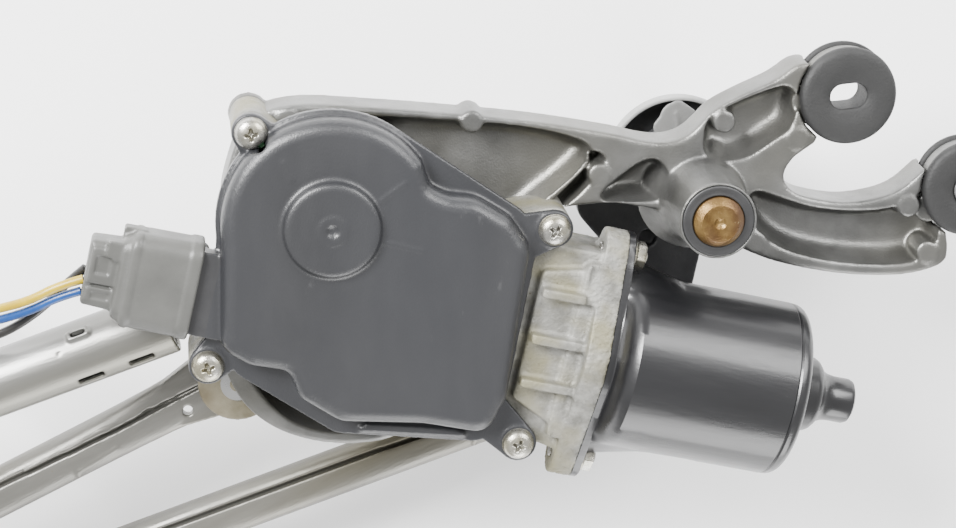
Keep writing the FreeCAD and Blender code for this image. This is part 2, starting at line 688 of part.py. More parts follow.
def tube_point(x, y):
    """A point given in plan, seen from the frame tube's end."""
    back = TUBE.inverse().multVec(place(x, y).Base)
    return back.x, back.y


def far_housing():
    made = Piece("far_pivot_housing", TUBE)
    end = d("tube_length")
    boss = tube_point(d("far_x"), d("far_y"))
    ear = far_ear()
    made.pad([rounded([(end + 2.0, -11.5, 4.0), (boss[0] + 4.0, -13.0, 8.0),
                       (ear[0] - 6.0, ear[1] - 15.0, 6.0), (ear[0] - 10.0, ear[1] + 10.0, 6.0),
                       (boss[0] + 2.0, boss[1] + 12.0, 8.0), (boss[0] - 12.0, boss[1] + 5.0, 6.0),
                       (end + 2.0, 11.5, 4.0)])],
             "web_low", "web_high")
    for (x0, y0), (x1, y1) in (((end + 6.0, -9.0), (ear[0] - 14.0, ear[1] - 8.0)),
                               ((end + 6.0, 9.0), (boss[0] - 9.0, boss[1])),
                               ((boss[0] + 9.0, boss[1]), (ear[0] - 12.0, ear[1] + 6.0))):
        made.pad([belt((x0, y0, 2.2), (x1, y1, 2.2))], "web_low", "rim_high")
    made.pocket([ring("grommet_radius + 0.4", *ear)], "web_low", "rim_high")
    made.pad([belt((ear[0] - 22.0, ear[1], 10.0), (ear[0], ear[1], 15.9))], "eye_low", "eye_high")
    made.pocket([ring("grommet_neck", *ear)], "eye_low", "eye_high")
    made.pad([ring("boss_radius", *boss)], "boss_low", "boss_high")
    made.pocket([ring("bush_radius", *boss)], "boss_low", "boss_high")
    made.pocket([ring("12.2", *boss)], "boss_high - 2", "boss_high")
    return made


def far_ear():
    """Where the far fixing ear is, seen from the frame tube's end."""
    return d("tube_length") + 96.0, -14.0


def frame_tube():
    made = Piece("frame_tube", ALONG_TUBE)
    made.pad([ring("tube_radius"), ring("tube_bore")], "0", "tube_length")


def grommet(label, where, oval):
    """Rubber grommet in a fixing ear, for a steel sleeve or with an oval hole."""
    made = Piece(label, where)
    made.turned([("0", "grommet_low"), ("grommet_radius - 1.5", "grommet_low"),
                 ("grommet_radius", "grommet_low + 1.5"), ("grommet_radius", "eye_low"),
                 ("grommet_neck", "eye_low"), ("grommet_neck", "eye_high"),
                 ("grommet_radius", "eye_high"), ("grommet_radius", "grommet_high - 1.5"),
                 ("grommet_radius - 1.5", "grommet_high"), ("0", "grommet_high")])
    if oval:
        made.pocket([belt((-1.9, -0.4, 4.7), (1.9, 0.4, 4.7))], "grommet_low", "grommet_high")
        return
    made.pocket([ring("sleeve_radius")], "grommet_low", "grommet_high")


def ear_sleeve(label, where):
    made = Piece(label, where)
    made.pad([ring("sleeve_radius"), ring("sleeve_bore")], "grommet_low", "grommet_high")
    made.pad([ring("11"), ring("sleeve_bore")], "grommet_low - 1.5", "grommet_low")


def fixing_ears():
    right = place(d("hold_x"), d("hold_y"))
    far = TUBE.multiply(Placement(Vector(far_ear()[0], far_ear()[1], 0), Rotation()))
    grommet("upper_grommet", place(d("upper_ear_x"), d("upper_ear_y")), True)
    grommet("right_grommet", right, False)
    ear_sleeve("right_sleeve", right)
    grommet("far_grommet", far, False)
    ear_sleeve("far_sleeve", far)


# ---------------------------------------------------------------- pivots

def pivot(side, where):
    """One wiper pivot's shaft and the pieces round it."""
    made = Piece(side + "_pivot_shaft", where)
    made.turned([("0", "thread_low"), ("3.2", "thread_low"), ("4", "thread_low + 1"),
                 ("4", "seat_low"), ("seat_radius", "seat_low"), ("seat_radius", "seat_high"),
                 ("8", "seat_high + 2"), ("8", "lever_low"), ("shaft_radius", "lever_low"),
                 ("shaft_radius", "shaft_top - 2.2"), ("shaft_radius - 2", "shaft_top"),
                 ("0", "shaft_top")])
    group(side + "_pivot_bushes", where,
          [solid_ring(d("bush_radius"), d("shaft_radius") + d("shaft_gap"), low, low + 16.0)
           for low in (d("boss_low"), d("boss_high") - 18.0)])
    made = Piece(side + "_seal_ring", where)
    made.pad([ring("12.2"), ring("shaft_radius + 0.3")], "boss_high - 2", "boss_high")
    made = Piece(side + "_splash_cap", where)
    made.turned([("8", "-22"), ("20", "-22"), ("25", "-17"), ("25", "-12"), ("23.2", "-12"),
                 ("23.2", "-16"), ("19.5", "-20.4"), ("11", "-20.4"), ("11", "-14"), ("8", "-14")])
    made = Piece(side + "_stop_plate", where)
    made.pad([belt((0.0, 0.0, 14.0), (-2.0, 20.0, 5.0)), ring("10")], "boss_low - 1.5", "boss_low")


def stud(label, where, plate_side, plate_far, ball, at):
    """A ball stud riveted through a plate: plate_side is the face that the ball is on."""
    up = amount(ball) > amount(plate_side)
    neck = cylinder("stud_radius", *((plate_side, ball) if up else (ball, plate_side)), *at)
    shank = cylinder("stud_radius", *((plate_far, plate_side) if up else (plate_side, plate_far)), *at)
    head_low = "%s - 1.2" % plate_far if up else plate_far
    head = cylinder("6", head_low, "%s" % plate_far if up else "%s + 1.2" % plate_far, *at)
    collar = cylinder("5.6", *((plate_side, "%s + 1" % plate_side) if up
                               else ("%s - 1" % plate_side, plate_side)), *at)
    joined(label, where, [neck, shank, head, collar, sphere("ball_radius", ball, *at)])


def crank():
    made = Piece("crank_arm", PLAIN)
    x, y = CRANK_BALL
    made.pad([belt((0.0, 0.0, 13.0), (x, y, 11.5)), ring("output_radius")], "crank_low", "crank_high")
    made.pad([ring("13"), ring("output_radius")], "crank_low - 2", "crank_low + 1")
    made.pocket([ring("stud_hole", x, y)], "crank_low", "crank_high")
    lessened("crank_nut", PLAIN, hexagon(17.0, "4.4", "10.8"), [cylinder("4", "4.4", "10.8")])
    stud("crank_ball_stud", PLAIN, "crank_low", "crank_high", "drive_link_level", CRANK_BALL)


def near_lever():
    made = Piece("near_lever", NEAR)
    x, y = LEVER_BALL
    made.pad([belt((0.0, 0.0, 18.0), (-28.0, -12.0, 9.0), (-10.0, -32.0, 9.0))], "lever_low",
             "lever_high")
    made.pad([belt((0.0, 0.0, 14.0), (x, y, 11.0))], "lever_low", "lever_high")
    made.pocket([ring("shaft_radius")], "lever_low", "lever_high")
    made.pocket([ring("3.2", -10.7, -24.7)], "lever_low", "lever_high")
    made.pocket([ring("stud_hole", x, y)], "lever_low", "lever_high")
    stud("near_ball_stud", NEAR, "lever_low", "lever_high", "coupling_link_level", LEVER_BALL)


def far_lever():
    made = Piece("far_lever", FAR)
    made.pad([belt((0.0, 0.0, 16.0), (*CRANK_BALL, 10.5), (*LEVER_BALL, 11.0))], "lever_low",
             "lever_high")
    made.pocket([ring("shaft_radius")], "lever_low", "lever_high")
    for x, y in (CRANK_BALL, LEVER_BALL):
        made.pocket([ring("stud_hole", x, y)], "lever_low", "lever_high")
    stud("far_drive_stud", FAR, "lever_high", "lever_low", "drive_link_level", CRANK_BALL)
    stud("far_coupling_stud", FAR, "lever_low", "lever_high", "coupling_link_level", LEVER_BALL)


# ---------------------------------------------------------------- links

def link(name, where, level, length):
    """A rolled tube with an open seam and two flattened ends, each with an eye."""
    made = Piece(name + "_tube", where)
    half = d("link_width") / 2
    height = d("link_height") / 2
    middle = amount(level)
    section = box(-half, half, middle - height, middle + height, 6.0)
    made.pad([section, inset(section, d("link_sheet"))], "30", str(length - 30.0), "YZ_Plane")
    for x, inward in ((0.0, 1.0), (length, -1.0)):
        ends = [(x, 0.0, 13.6), (x + inward * 31.0, 0.0, half)]
        made.pad([belt(*ends)], "%s - 2.4" % level, "%s + 2.4" % level)
        made.pad([box(*sorted((x + inward * 18.0, x + inward * 31.0)), -half, half)],
                 "%s - 3.4" % level, "%s + 3.4" % level)
        made.pocket([ring("11", x, 0.0)], "%s - 6.5" % level, "%s + 6.5" % level)
    made.pocket([box(32.0, length - 32.0, -1.0, 1.0)], level, "%s + 6.5" % level)


def socket(label, where, level, x, opens_up):
    """A moulded ball socket pressed into a link's eye."""
    low, high = "%s - 6" % level, "%s + 6" % level
    body = doc.addObject("Part::MultiFuse", "socket_blank")
    rim = ("%s + 2.4" % level, "%s + 5" % level) if opens_up else ("%s - 5" % level, "%s - 2.4" % level)
    body.Shapes = [cylinder("11", low, high), cylinder("13.2", *rim)]
    mouth = (level, high) if opens_up else (low, level)
    tools = [sphere("ball_radius + ball_gap", level), cylinder("5.7", *mouth)]
    lessened(label, where.multiply(Placement(Vector(x, 0, 0), Rotation())), body, tools)


def links():
    length = math.hypot(d("far_x"), d("far_y"))
    turn = math.degrees(math.atan2(d("far_y"), d("far_x")))
    drive = place(CRANK_BALL[0], CRANK_BALL[1], 0.0, turn)
    link("drive_link", drive, "drive_link_level", length)
    socket("drive_link_crank_socket", drive, "drive_link_level", 0.0, True)
    socket("drive_link_far_socket", drive, "drive_link_level", length, False)
    span = math.hypot(d("far_x") - d("near_x"), d("far_y") - d("near_y"))
    couple = place(d("near_x") + LEVER_BALL[0], d("near_y") + LEVER_BALL[1], 0.0, LINK_TURN)
    link("coupling_link", couple, "coupling_link_level", span)
    socket("coupling_link_near_socket", couple, "coupling_link_level", 0.0, True)
    socket("coupling_link_far_socket", couple, "coupling_link_level", span, True)


# ---------------------------------------------------------------- wires

# each wire's route, from the crank axis: out of the plug, down beside the frame tube, then flat
ROUTES = {
    "wire_yellow": [(-81.6, -20.4, 48.5), (-89.5, -22.6, 48.3), (-99.5, -28.6, 46.5),
                    (-112.0, -34.0, 39.5), (-124.5, -41.0, 22.0), (-134.5, -46.5, -4.0),
                    (-147.0, -47.0, -30.0), (-168.0, -42.0, -48.3), (-195.0, -46.0, -48.3)],
    "wire_blue": [(-82.5, -25.0, 46.8), (-90.0, -27.2, 46.4), (-98.8, -32.4, 44.5),
                  (-111.0, -38.4, 37.5), (-123.0, -45.5, 20.0), (-132.0, -50.0, -8.0),
                  (-145.0, -50.5, -33.0), (-166.0, -49.0, -48.3), (-190.0, -55.0, -48.3)],
    "wire_black": [(-81.1, -18.0, 43.6), (-87.0, -23.5, 41.2), (-96.0, -34.0, 39.4),
                   (-109.5, -44.4, 34.5), (-121.0, -50.5, 20.5), (-129.5, -55.0, -2.0),
                   (-141.0, -57.0, -27.0), (-161.0, -59.5, -48.3), (-186.0, -71.0, -48.3)],
}


def wire(label, route):
    """A wire's solid: straight runs joined by tangent arcs, swept with a round section."""
    points = [Vector(*p) for p in route]
    edges = []
    here = points[0]
    radii = []
    for before, corner, after in zip(points, points[1:], points[2:]):
        back, on = before - corner, after - corner
        half_turn = (math.pi - back.getAngle(on)) / 2
        reach = 0.45 * min(back.Length, on.Length)
        radius = reach / math.tan(half_turn)
        radii.append(radius)
        back.normalize()
        on.normalize()
        start, end = corner + back * reach, corner + on * reach
        crown = corner + (back + on).normalize() * (radius / math.cos(half_turn) - radius)
        edges += [Part.LineSegment(here, start).toShape(), Part.Arc(start, crown, end).toShape()]
        here = end
    edges.append(Part.LineSegment(here, points[-1]).toShape())
    path = Part.Wire(edges)
    section = Part.Wire([Part.Circle(points[0], points[1] - points[0], d("wire_diameter") / 2).toShape()])
    tube = path.makePipeShell([section], True, False)
    ideal = math.pi * (d("wire_diameter") / 2) ** 2 * path.Length
    print("%s: length %.1f, radii %s, volume ratio %.4f" % (
        label, path.Length, [round(r, 1) for r in radii], tube.Volume / ideal))
    made = doc.addObject("Part::Feature", label)
    made.Shape = tube
    made.Label = label
    made.Placement = PLAIN
    FINISHED.append(made)


# ---------------------------------------------------------------- the module

gear_case()
cover_gasket()
gear_cover()
fasteners()
yoke()
magnets()
brush_gear()
bearings()
armature()
output()
electronics()
castings()
frame_tube()
fixing_ears()
pivot("near", NEAR)
pivot("far", FAR)
crank()
near_lever()
far_lever()
links()
for name, path_points in ROUTES.items():
    wire(name, path_points)

doc.recompute()
for thing in doc.Objects:
    if "Invalid" in thing.State or "Error" in thing.State:
        raise RuntimeError("%s (%s) failed: %s" % (thing.Name, thing.Label, thing.State))
os.makedirs("parts", exist_ok=True)
for thing in FINISHED:
    if thing.Shape.isNull() or not thing.Shape.isValid():
        raise RuntimeError("%s has no valid shape" % thing.Label)
    thing.Shape.exportStep("parts/%s.step" % thing.Label)
print(len(FINISHED), "sub-parts")
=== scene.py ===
"""Looks of the windscreen wiper drive module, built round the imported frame.

Castings and mouldings are made as clay: closed solids joined, cut, remeshed and smoothed.
Turned pieces are lathes, the link rods and the motor's can are skins over sections.
Sizes inside the pieces are in millimetres; PLAN and the other places turn them into the row frame.
"""
import json
import random
from math import acos, atan2, copysign, cos, hypot, pi, radians, sin, sqrt, tan

import bmesh
import bpy
from mathutils import Matrix, Vector


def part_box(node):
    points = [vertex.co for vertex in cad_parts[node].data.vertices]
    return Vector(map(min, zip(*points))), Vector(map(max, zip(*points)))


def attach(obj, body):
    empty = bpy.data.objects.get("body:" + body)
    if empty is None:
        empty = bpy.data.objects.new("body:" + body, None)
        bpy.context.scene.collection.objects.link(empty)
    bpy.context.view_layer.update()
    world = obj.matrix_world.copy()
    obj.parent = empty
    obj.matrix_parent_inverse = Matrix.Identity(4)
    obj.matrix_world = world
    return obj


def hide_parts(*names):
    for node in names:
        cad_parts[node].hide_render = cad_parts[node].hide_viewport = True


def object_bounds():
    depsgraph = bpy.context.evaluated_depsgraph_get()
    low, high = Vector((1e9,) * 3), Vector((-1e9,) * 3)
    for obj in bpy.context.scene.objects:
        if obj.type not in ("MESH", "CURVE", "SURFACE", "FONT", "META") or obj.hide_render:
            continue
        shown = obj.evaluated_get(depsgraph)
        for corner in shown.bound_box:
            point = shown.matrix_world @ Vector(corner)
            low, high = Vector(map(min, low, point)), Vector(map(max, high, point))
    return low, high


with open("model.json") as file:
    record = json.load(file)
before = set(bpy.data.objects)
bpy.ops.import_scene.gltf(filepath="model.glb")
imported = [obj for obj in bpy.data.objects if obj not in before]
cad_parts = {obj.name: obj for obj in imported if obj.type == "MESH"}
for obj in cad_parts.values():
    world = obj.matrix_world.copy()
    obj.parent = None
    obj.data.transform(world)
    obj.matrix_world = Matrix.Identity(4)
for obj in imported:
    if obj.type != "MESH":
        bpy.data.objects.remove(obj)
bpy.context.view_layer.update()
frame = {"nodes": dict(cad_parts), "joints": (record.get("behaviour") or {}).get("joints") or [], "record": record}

MM = 0.001
TURN = 2 * pi



def placed(name, data):
    """A new object in the scene."""
    made = bpy.data.objects.new(name, data)
    bpy.context.scene.collection.objects.link(made)
    return made


# ---- places

joints = {joint["name"]: joint for joint in frame["joints"]}


def joint_at(name):
    return Vector(joints[name]["pos_m"])


crank_axis = joint_at("crank_turn")
SHAFT_LOW = -50.0
datum = Vector((crank_axis.x, crank_axis.y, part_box("near_pivot_shaft")[0].z - SHAFT_LOW * MM))
PLAN = Matrix.Translation(datum) @ Matrix.Scale(MM, 4)


def in_plan(point):
    """A point of the row frame, in millimetres from the crank axis."""
    return PLAN.inverted() @ Vector(point)


def shifted(x, y, z=0.0):
    return Matrix.Translation((x, y, z))


def turned(angle, axis="Z"):
    return Matrix.Rotation(angle, 4, axis)


motor_axis = -Vector(joints["armature_turn"]["axis"])
tilt = atan2(motor_axis.y, motor_axis.x)
MOTOR = PLAN @ turned(tilt)
worm = MOTOR.inverted() @ joint_at("armature_turn")
SPIN = MOTOR @ shifted(0, worm.y, worm.z) @ turned(pi / 2, "Y")
near, far = in_plan(joint_at("near_pivot_turn")), in_plan(joint_at("far_pivot_turn"))
NEAR, FAR = PLAN @ shifted(near.x, near.y), PLAN @ shifted(far.x, far.y)
crank_ball = in_plan(joint_at("drive_link_turn"))
far_ball = in_plan(joint_at("coupling_link_turn"))
couple_throw = far_ball - far
link_turn = atan2(far.y - near.y, far.x - near.x)
drive_turn = atan2(far.y, far.x)
DRIVE = PLAN @ shifted(crank_ball.x, crank_ball.y, crank_ball.z) @ turned(drive_turn)
COUPLE = PLAN @ shifted(near.x + couple_throw.x, near.y + couple_throw.y, far_ball.z) @ turned(link_turn)
drive_span = hypot(far.x, far.y)
couple_span = hypot(far.x - near.x, far.y - near.y)
TUBE_END, TUBE_LEVEL = (-53.0, -41.8), 26.0
tube_length = 213.0
TUBE = PLAN @ shifted(*TUBE_END, TUBE_LEVEL) @ turned(link_turn) @ turned(pi / 2, "Y")
right_ear = in_plan((0, 0, 0))
mounts = {mount["name"]: mount for mount in frame["record"]["mounts"]}
far_ear = in_plan(mounts["far_ear_bore"]["pos_m"])
upper_ear = in_plan(mounts["upper_ear_slot"]["pos_m"])


# ---- materials

SURFACES = {}


def finish(name, colours, spread=60.0, rough=(0.4, 0.55), metallic=0.0, grain=0.0, grain_size=900.0,
           stretch=(1, 1, 1), wear=None, coat=0.0, turn=0.0, scuff=None):
    """A surface whose colour drifts between colours, with grain and patches of wear.

    spread and grain_size are noise scales per metre, stretch draws the drift out along an
    axis turned about Z, wear is (colour, share, scale, metallic) in patches, scuff is the
    same in fine streaks.
    """
    made = bpy.data.materials.new(name)
    made.use_nodes = True
    nodes, links = made.node_tree.nodes, made.node_tree.links
    shader = nodes["Principled BSDF"]
    shader.inputs["Coat Weight"].default_value = coat
    shader.inputs["Coat Roughness"].default_value = 0.12
    place = nodes.new("ShaderNodeTexCoord")
    spun = nodes.new("ShaderNodeMapping")
    spun.inputs["Rotation"].default_value = (0, 0, -turn)
    links.new(place.outputs["Object"], spun.inputs["Vector"])
    drawn = nodes.new("ShaderNodeMapping")
    drawn.inputs["Scale"].default_value = stretch
    links.new(spun.outputs["Vector"], drawn.inputs["Vector"])

    def noise(scale, detail=4.0, source=drawn, rough_share=0.55):
        made_noise = nodes.new("ShaderNodeTexNoise")
        made_noise.inputs["Scale"].default_value = scale
        made_noise.inputs["Detail"].default_value = detail
        made_noise.inputs["Roughness"].default_value = rough_share
        links.new(source.outputs["Vector"], made_noise.inputs["Vector"])
        return made_noise.outputs["Fac"]

    def ramp(value, low, high, first, last):
        made_ramp = nodes.new("ShaderNodeMapRange")
        for word, number in (("From Min", low), ("From Max", high), ("To Min", first), ("To Max", last)):
            made_ramp.inputs[word].default_value = number
        links.new(value, made_ramp.inputs["Value"])
        return made_ramp.outputs["Result"]

    def mixed(share, first, last):
        blend = nodes.new("ShaderNodeMix")
        blend.data_type = "RGBA"
        links.new(share, blend.inputs["Factor"])
        for socket, colour in ((blend.inputs["A"], first), (blend.inputs["B"], last)):
            if isinstance(colour, tuple):
                socket.default_value = (*colour, 1)
            else:
                links.new(colour, socket)
        return blend.outputs["Result"]

    drift = ramp(noise(spread), 0.3, 0.7, 0.0, 1.0)
    colour = mixed(drift, colours[0], colours[1])
    if len(colours) > 2:
        colour = mixed(ramp(noise(spread * 0.37, 2.0), 0.45, 0.68, 0.0, 1.0), colour, colours[2])
    roughness = ramp(noise(spread * 2.3, 6.0), 0.25, 0.75, rough[0], rough[1])
    shine = None
    for patch, source, detail in ((wear, spun, 6.0), (scuff, drawn, 8.0)):
        if patch:
            tint, share, scale, metal = patch
            edge = ramp(noise(scale, detail, source, 0.7), 1.0 - share - 0.03, 1.0 - share + 0.03, 0.0, 1.0)
            colour = mixed(edge, colour, tint)
            if metal != metallic:
                shine = ramp(edge, 0.0, 1.0, metallic, metal)
    links.new(colour, shader.inputs["Base Color"])
    links.new(roughness, shader.inputs["Roughness"])
    shader.inputs["Metallic"].default_value = metallic
    if shine:
        links.new(shine, shader.inputs["Metallic"])
    if grain:
        bump = nodes.new("ShaderNodeBump")
        bump.inputs["Strength"].default_value = grain
        bump.inputs["Distance"].default_value = 0.0006
        links.new(noise(grain_size, 5.0), bump.inputs["Height"])
        links.new(bump.outputs["Normal"], shader.inputs["Normal"])
    SURFACES[name] = made
    return made


CAST = finish("cast_alloy", [(0.085, 0.085, 0.082), (0.20, 0.20, 0.193), (0.125, 0.122, 0.108)], 45, (0.30, 0.46),
              0.8, 0.25, 1400, wear=((0.12, 0.11, 0.095), 0.27, 240, 0.4))
GEAR_CAST = finish("gear_alloy", [(0.115, 0.113, 0.10), (0.26, 0.257, 0.237), (0.18, 0.168, 0.11)], 160,
                   (0.45, 0.7), 0.35, 0.6, 900, wear=((0.085, 0.073, 0.04), 0.33, 420, 0.1))
TUBE_STEEL = finish("tube_steel", [(0.105, 0.105, 0.102), (0.23, 0.23, 0.226), (0.145, 0.137, 0.10)], 40,
                    (0.28, 0.42), 0.7, 0.12, 1200, (0.15, 1, 1), turn=link_turn,
                    wear=((0.16, 0.15, 0.12), 0.25, 200, 0.5))
LINK_STEEL = finish("link_steel", [(0.075, 0.073, 0.064), (0.18, 0.176, 0.16), (0.12, 0.106, 0.068)], 55,
                    (0.3, 0.5), 0.65, 0.2, 1200, (0.2, 1, 1), turn=drive_turn,
                    wear=((0.13, 0.11, 0.07), 0.28, 300, 0.3))
CRANK_STEEL = finish("crank_steel", [(0.10, 0.088, 0.055), (0.19, 0.172, 0.125), (0.06, 0.043, 0.018)], 120,
                     (0.4, 0.6), 0.3, 0.3, 1000, wear=((0.05, 0.035, 0.02), 0.27, 480, 0.1))
STEEL = finish("ground_steel", [(0.30, 0.30, 0.30), (0.42, 0.42, 0.41)], 120, (0.22, 0.36), 0.9, 0.08)
SCREW = finish("zinc_screw", [(0.25, 0.245, 0.225), (0.45, 0.44, 0.41), (0.30, 0.28, 0.21)], 260, (0.2, 0.36),
               0.9, 0.15, 2500)
CHROMATE = finish("chromated_shaft", [(0.10, 0.055, 0.016), (0.22, 0.14, 0.05), (0.07, 0.035, 0.022)], 170,
                  (0.26, 0.45), 0.8, 0.35, 1500, wear=((0.34, 0.26, 0.14), 0.33, 380, 0.9))
PAINT = finish("black_paint", [(0.003, 0.003, 0.0035), (0.008, 0.008, 0.009)], 35, (0.24, 0.38), 0.0, 0.12, 500,
               coat=0.15, wear=((0.12, 0.115, 0.10), 0.245, 330, 0.5),
               scuff=((0.035, 0.035, 0.035), 0.29, 260, 0.0), stretch=(0.25, 1, 1), turn=tilt)
LEVER = finish("lever_paint", [(0.010, 0.010, 0.011), (0.020, 0.020, 0.021)], 90, (0.38, 0.55), 0.0, 0.3, 900,
               wear=((0.09, 0.085, 0.075), 0.25, 420, 0.3))
COVER = finish("cover_plastic", [(0.0135, 0.0138, 0.015), (0.0205, 0.0208, 0.0225), (0.0165, 0.017, 0.019)], 38,
               (0.30, 0.42), 0.0, 0.22, 2200, wear=((0.06, 0.06, 0.06), 0.22, 900, 0.0),
               scuff=((0.029, 0.0293, 0.031), 0.33, 120, 0.0), stretch=(1, 0.4, 1))
PLUG = finish("plug_plastic", [(0.050, 0.050, 0.046), (0.070, 0.070, 0.065)], 60, (0.36, 0.48), 0.0, 0.15,
              2000)
SOCKET_DARK = finish("socket_plastic", [(0.014, 0.014, 0.015), (0.026, 0.026, 0.027)], 60, (0.28, 0.4), 0.0,
                     0.12, 2000)
INNER = finish("inner_plastic", [(0.12, 0.10, 0.065), (0.16, 0.14, 0.09)], 120, (0.45, 0.6), 0.0, 0.2)
finish("board", [(0.010, 0.06, 0.022), (0.018, 0.09, 0.035)], 200, (0.3, 0.45), 0.0, 0.1)
NYLON = finish("nylon", [(0.34, 0.28, 0.18), (0.44, 0.38, 0.27), (0.18, 0.12, 0.06)], 130, (0.32, 0.5), 0.0,
               0.3, 1200, coat=0.2, wear=((0.05, 0.03, 0.015), 0.24, 520, 0.0))
GREY = finish("grey_plastic", [(0.10, 0.10, 0.097), (0.14, 0.14, 0.135)], 90, (0.4, 0.55), 0.0, 0.25, 1500)
RUBBER = finish("rubber_black", [(0.0045, 0.0045, 0.0045), (0.009, 0.009, 0.0088)], 70, (0.55, 0.7), 0.0, 0.35,
                1300, wear=((0.030, 0.027, 0.024), 0.28, 260, 0.0))
CAP = finish("cap_plastic", [(0.011, 0.011, 0.0115), (0.019, 0.019, 0.0195)], 70, (0.4, 0.55), 0.0, 0.2, 1500)
# painted highlight for the splash caps' outer rims: a light grey that stands in for the light the rim catches
CAP_RIM_HIGHLIGHT = finish("cap_rim_painted_highlight", [(0.22, 0.22, 0.215), (0.32, 0.32, 0.31)], 70, (0.4, 0.55), 0.0, 0.2, 1500)
finish("bronze", [(0.30, 0.17, 0.06), (0.42, 0.26, 0.10)], 300, (0.35, 0.5), 0.9, 0.3, 2500)
finish("copper", [(0.45, 0.17, 0.07), (0.58, 0.25, 0.12)], 300, (0.25, 0.4), 0.95, 0.1)
finish("core_steel", [(0.13, 0.13, 0.13), (0.2, 0.2, 0.2)], 400, (0.35, 0.5), 0.85, 0.3,
              stretch=(6, 1, 1), turn=tilt)
finish("ferrite", [(0.03, 0.03, 0.03), (0.045, 0.045, 0.045)], 200, (0.55, 0.7), 0.1, 0.3)
finish("carbon", [(0.02, 0.02, 0.02), (0.035, 0.035, 0.035)], 300, (0.5, 0.65), 0.1, 0.3)
finish("wire_yellow", [(0.30, 0.20, 0.0), (0.38, 0.27, 0.0)], 120, (0.28, 0.4), 0.0, 0.1)
finish("wire_blue", [(0.001, 0.028, 0.13), (0.002, 0.045, 0.19)], 120, (0.28, 0.4), 0.0, 0.1)
finish("wire_black", [(0.006, 0.0055, 0.005), (0.012, 0.011, 0.010)], 120, (0.3, 0.42), 0.0, 0.1)

node_slot = {part["node"]: part["material_slot"] for part in frame["record"]["subparts"]}
node_body = {node: body for body, members in frame["record"]["behaviour"]["bodies"].items()
             for node in members}
for node, piece in frame["nodes"].items():
    piece.data.materials.clear()
    piece.data.materials.append(SURFACES[node_slot[node]])


# ---- outlines

def rounded(corners, step=0.2):
    """A closed outline through corners (x, y, radius), anticlockwise."""
    points = []
    count = len(corners)
    for i, (x, y, radius) in enumerate(corners):
        here = Vector((x, y))
        before = Vector(corners[i - 1][:2]) - here
        after = Vector(corners[(i + 1) % count][:2]) - here
        if radius <= 0:
            points.append(here)
            continue
        half = before.angle(after) / 2
        reach = min(radius / tan(half), 0.49 * before.length, 0.49 * after.length)
        radius = reach * tan(half)
        before.normalize()
        after.normalize()
        centre = here + (before + after).normalized() * (radius / sin(half))
        start, end = here + before * reach - centre, here + after * reach - centre
        sweep = start.angle_signed(end)
        steps = max(2, int(abs(sweep) / step))
        for k in range(steps + 1):
            points.append(centre + Matrix.Rotation(-sweep * k / steps, 2) @ start)
    return points


def belt(*circles, step=0.2):
    """The outline of a belt round circles (x, y, radius), anticlockwise."""
    count = len(circles)
    leans = []
    for i in range(count):
        x0, y0, r0 = circles[i]
        x1, y1, r1 = circles[(i + 1) % count]
        leans.append(atan2(y1 - y0, x1 - x0) - acos((r0 - r1) / hypot(x1 - x0, y1 - y0)))
    points = []
    for i, (x, y, radius) in enumerate(circles):
        sweep = (leans[i] - leans[i - 1]) % TURN
        steps = max(2, int(sweep / step))
        for k in range(steps + 1):
            angle = leans[i - 1] + sweep * k / steps
            points.append(Vector((x + radius * cos(angle), y + radius * sin(angle))))
    return points


def smooth_outline(points, steps=6):
    """A closed curve through points, anticlockwise."""
    if sum(a[0] * b[1] - b[0] * a[1] for a, b in zip(points, points[1:] + points[:1])) < 0:
        points = points[::-1]
    count = len(points)
    found = []
    for i in range(count):
        a, b, c, e = (Vector(points[(i + k) % count]) for k in (-1, 0, 1, 2))
        for k in range(steps):
            t = k / steps
            found.append(0.5 * (2 * b + (c - a) * t + (2 * a - 5 * b + 4 * c - e) * t * t
                                + (3 * b - a - 3 * c + e) * t ** 3))
    return found


def round_outline(radius, x=0.0, y=0.0, steps=48, oval=1.0, turn=0.0):
    points = []
    for k in range(steps):
        point = Vector((radius * oval * cos(TURN * k / steps), radius * sin(TURN * k / steps)))
        points.append(Matrix.Rotation(-turn, 2) @ point + Vector((x, y)))
    return points


def shrunk(outline, width):
    """The same dense outline, moved inwards by a width."""
    count = len(outline)
    found = []
    for i in range(count):
        along = outline[(i + 1) % count] - outline[i - 1]
        if along.length < 1e-6:
            continue
        inward = Vector((-along.y, along.x)).normalized()
        found.append(outline[i] + inward * width)
    return found


# ---- clay

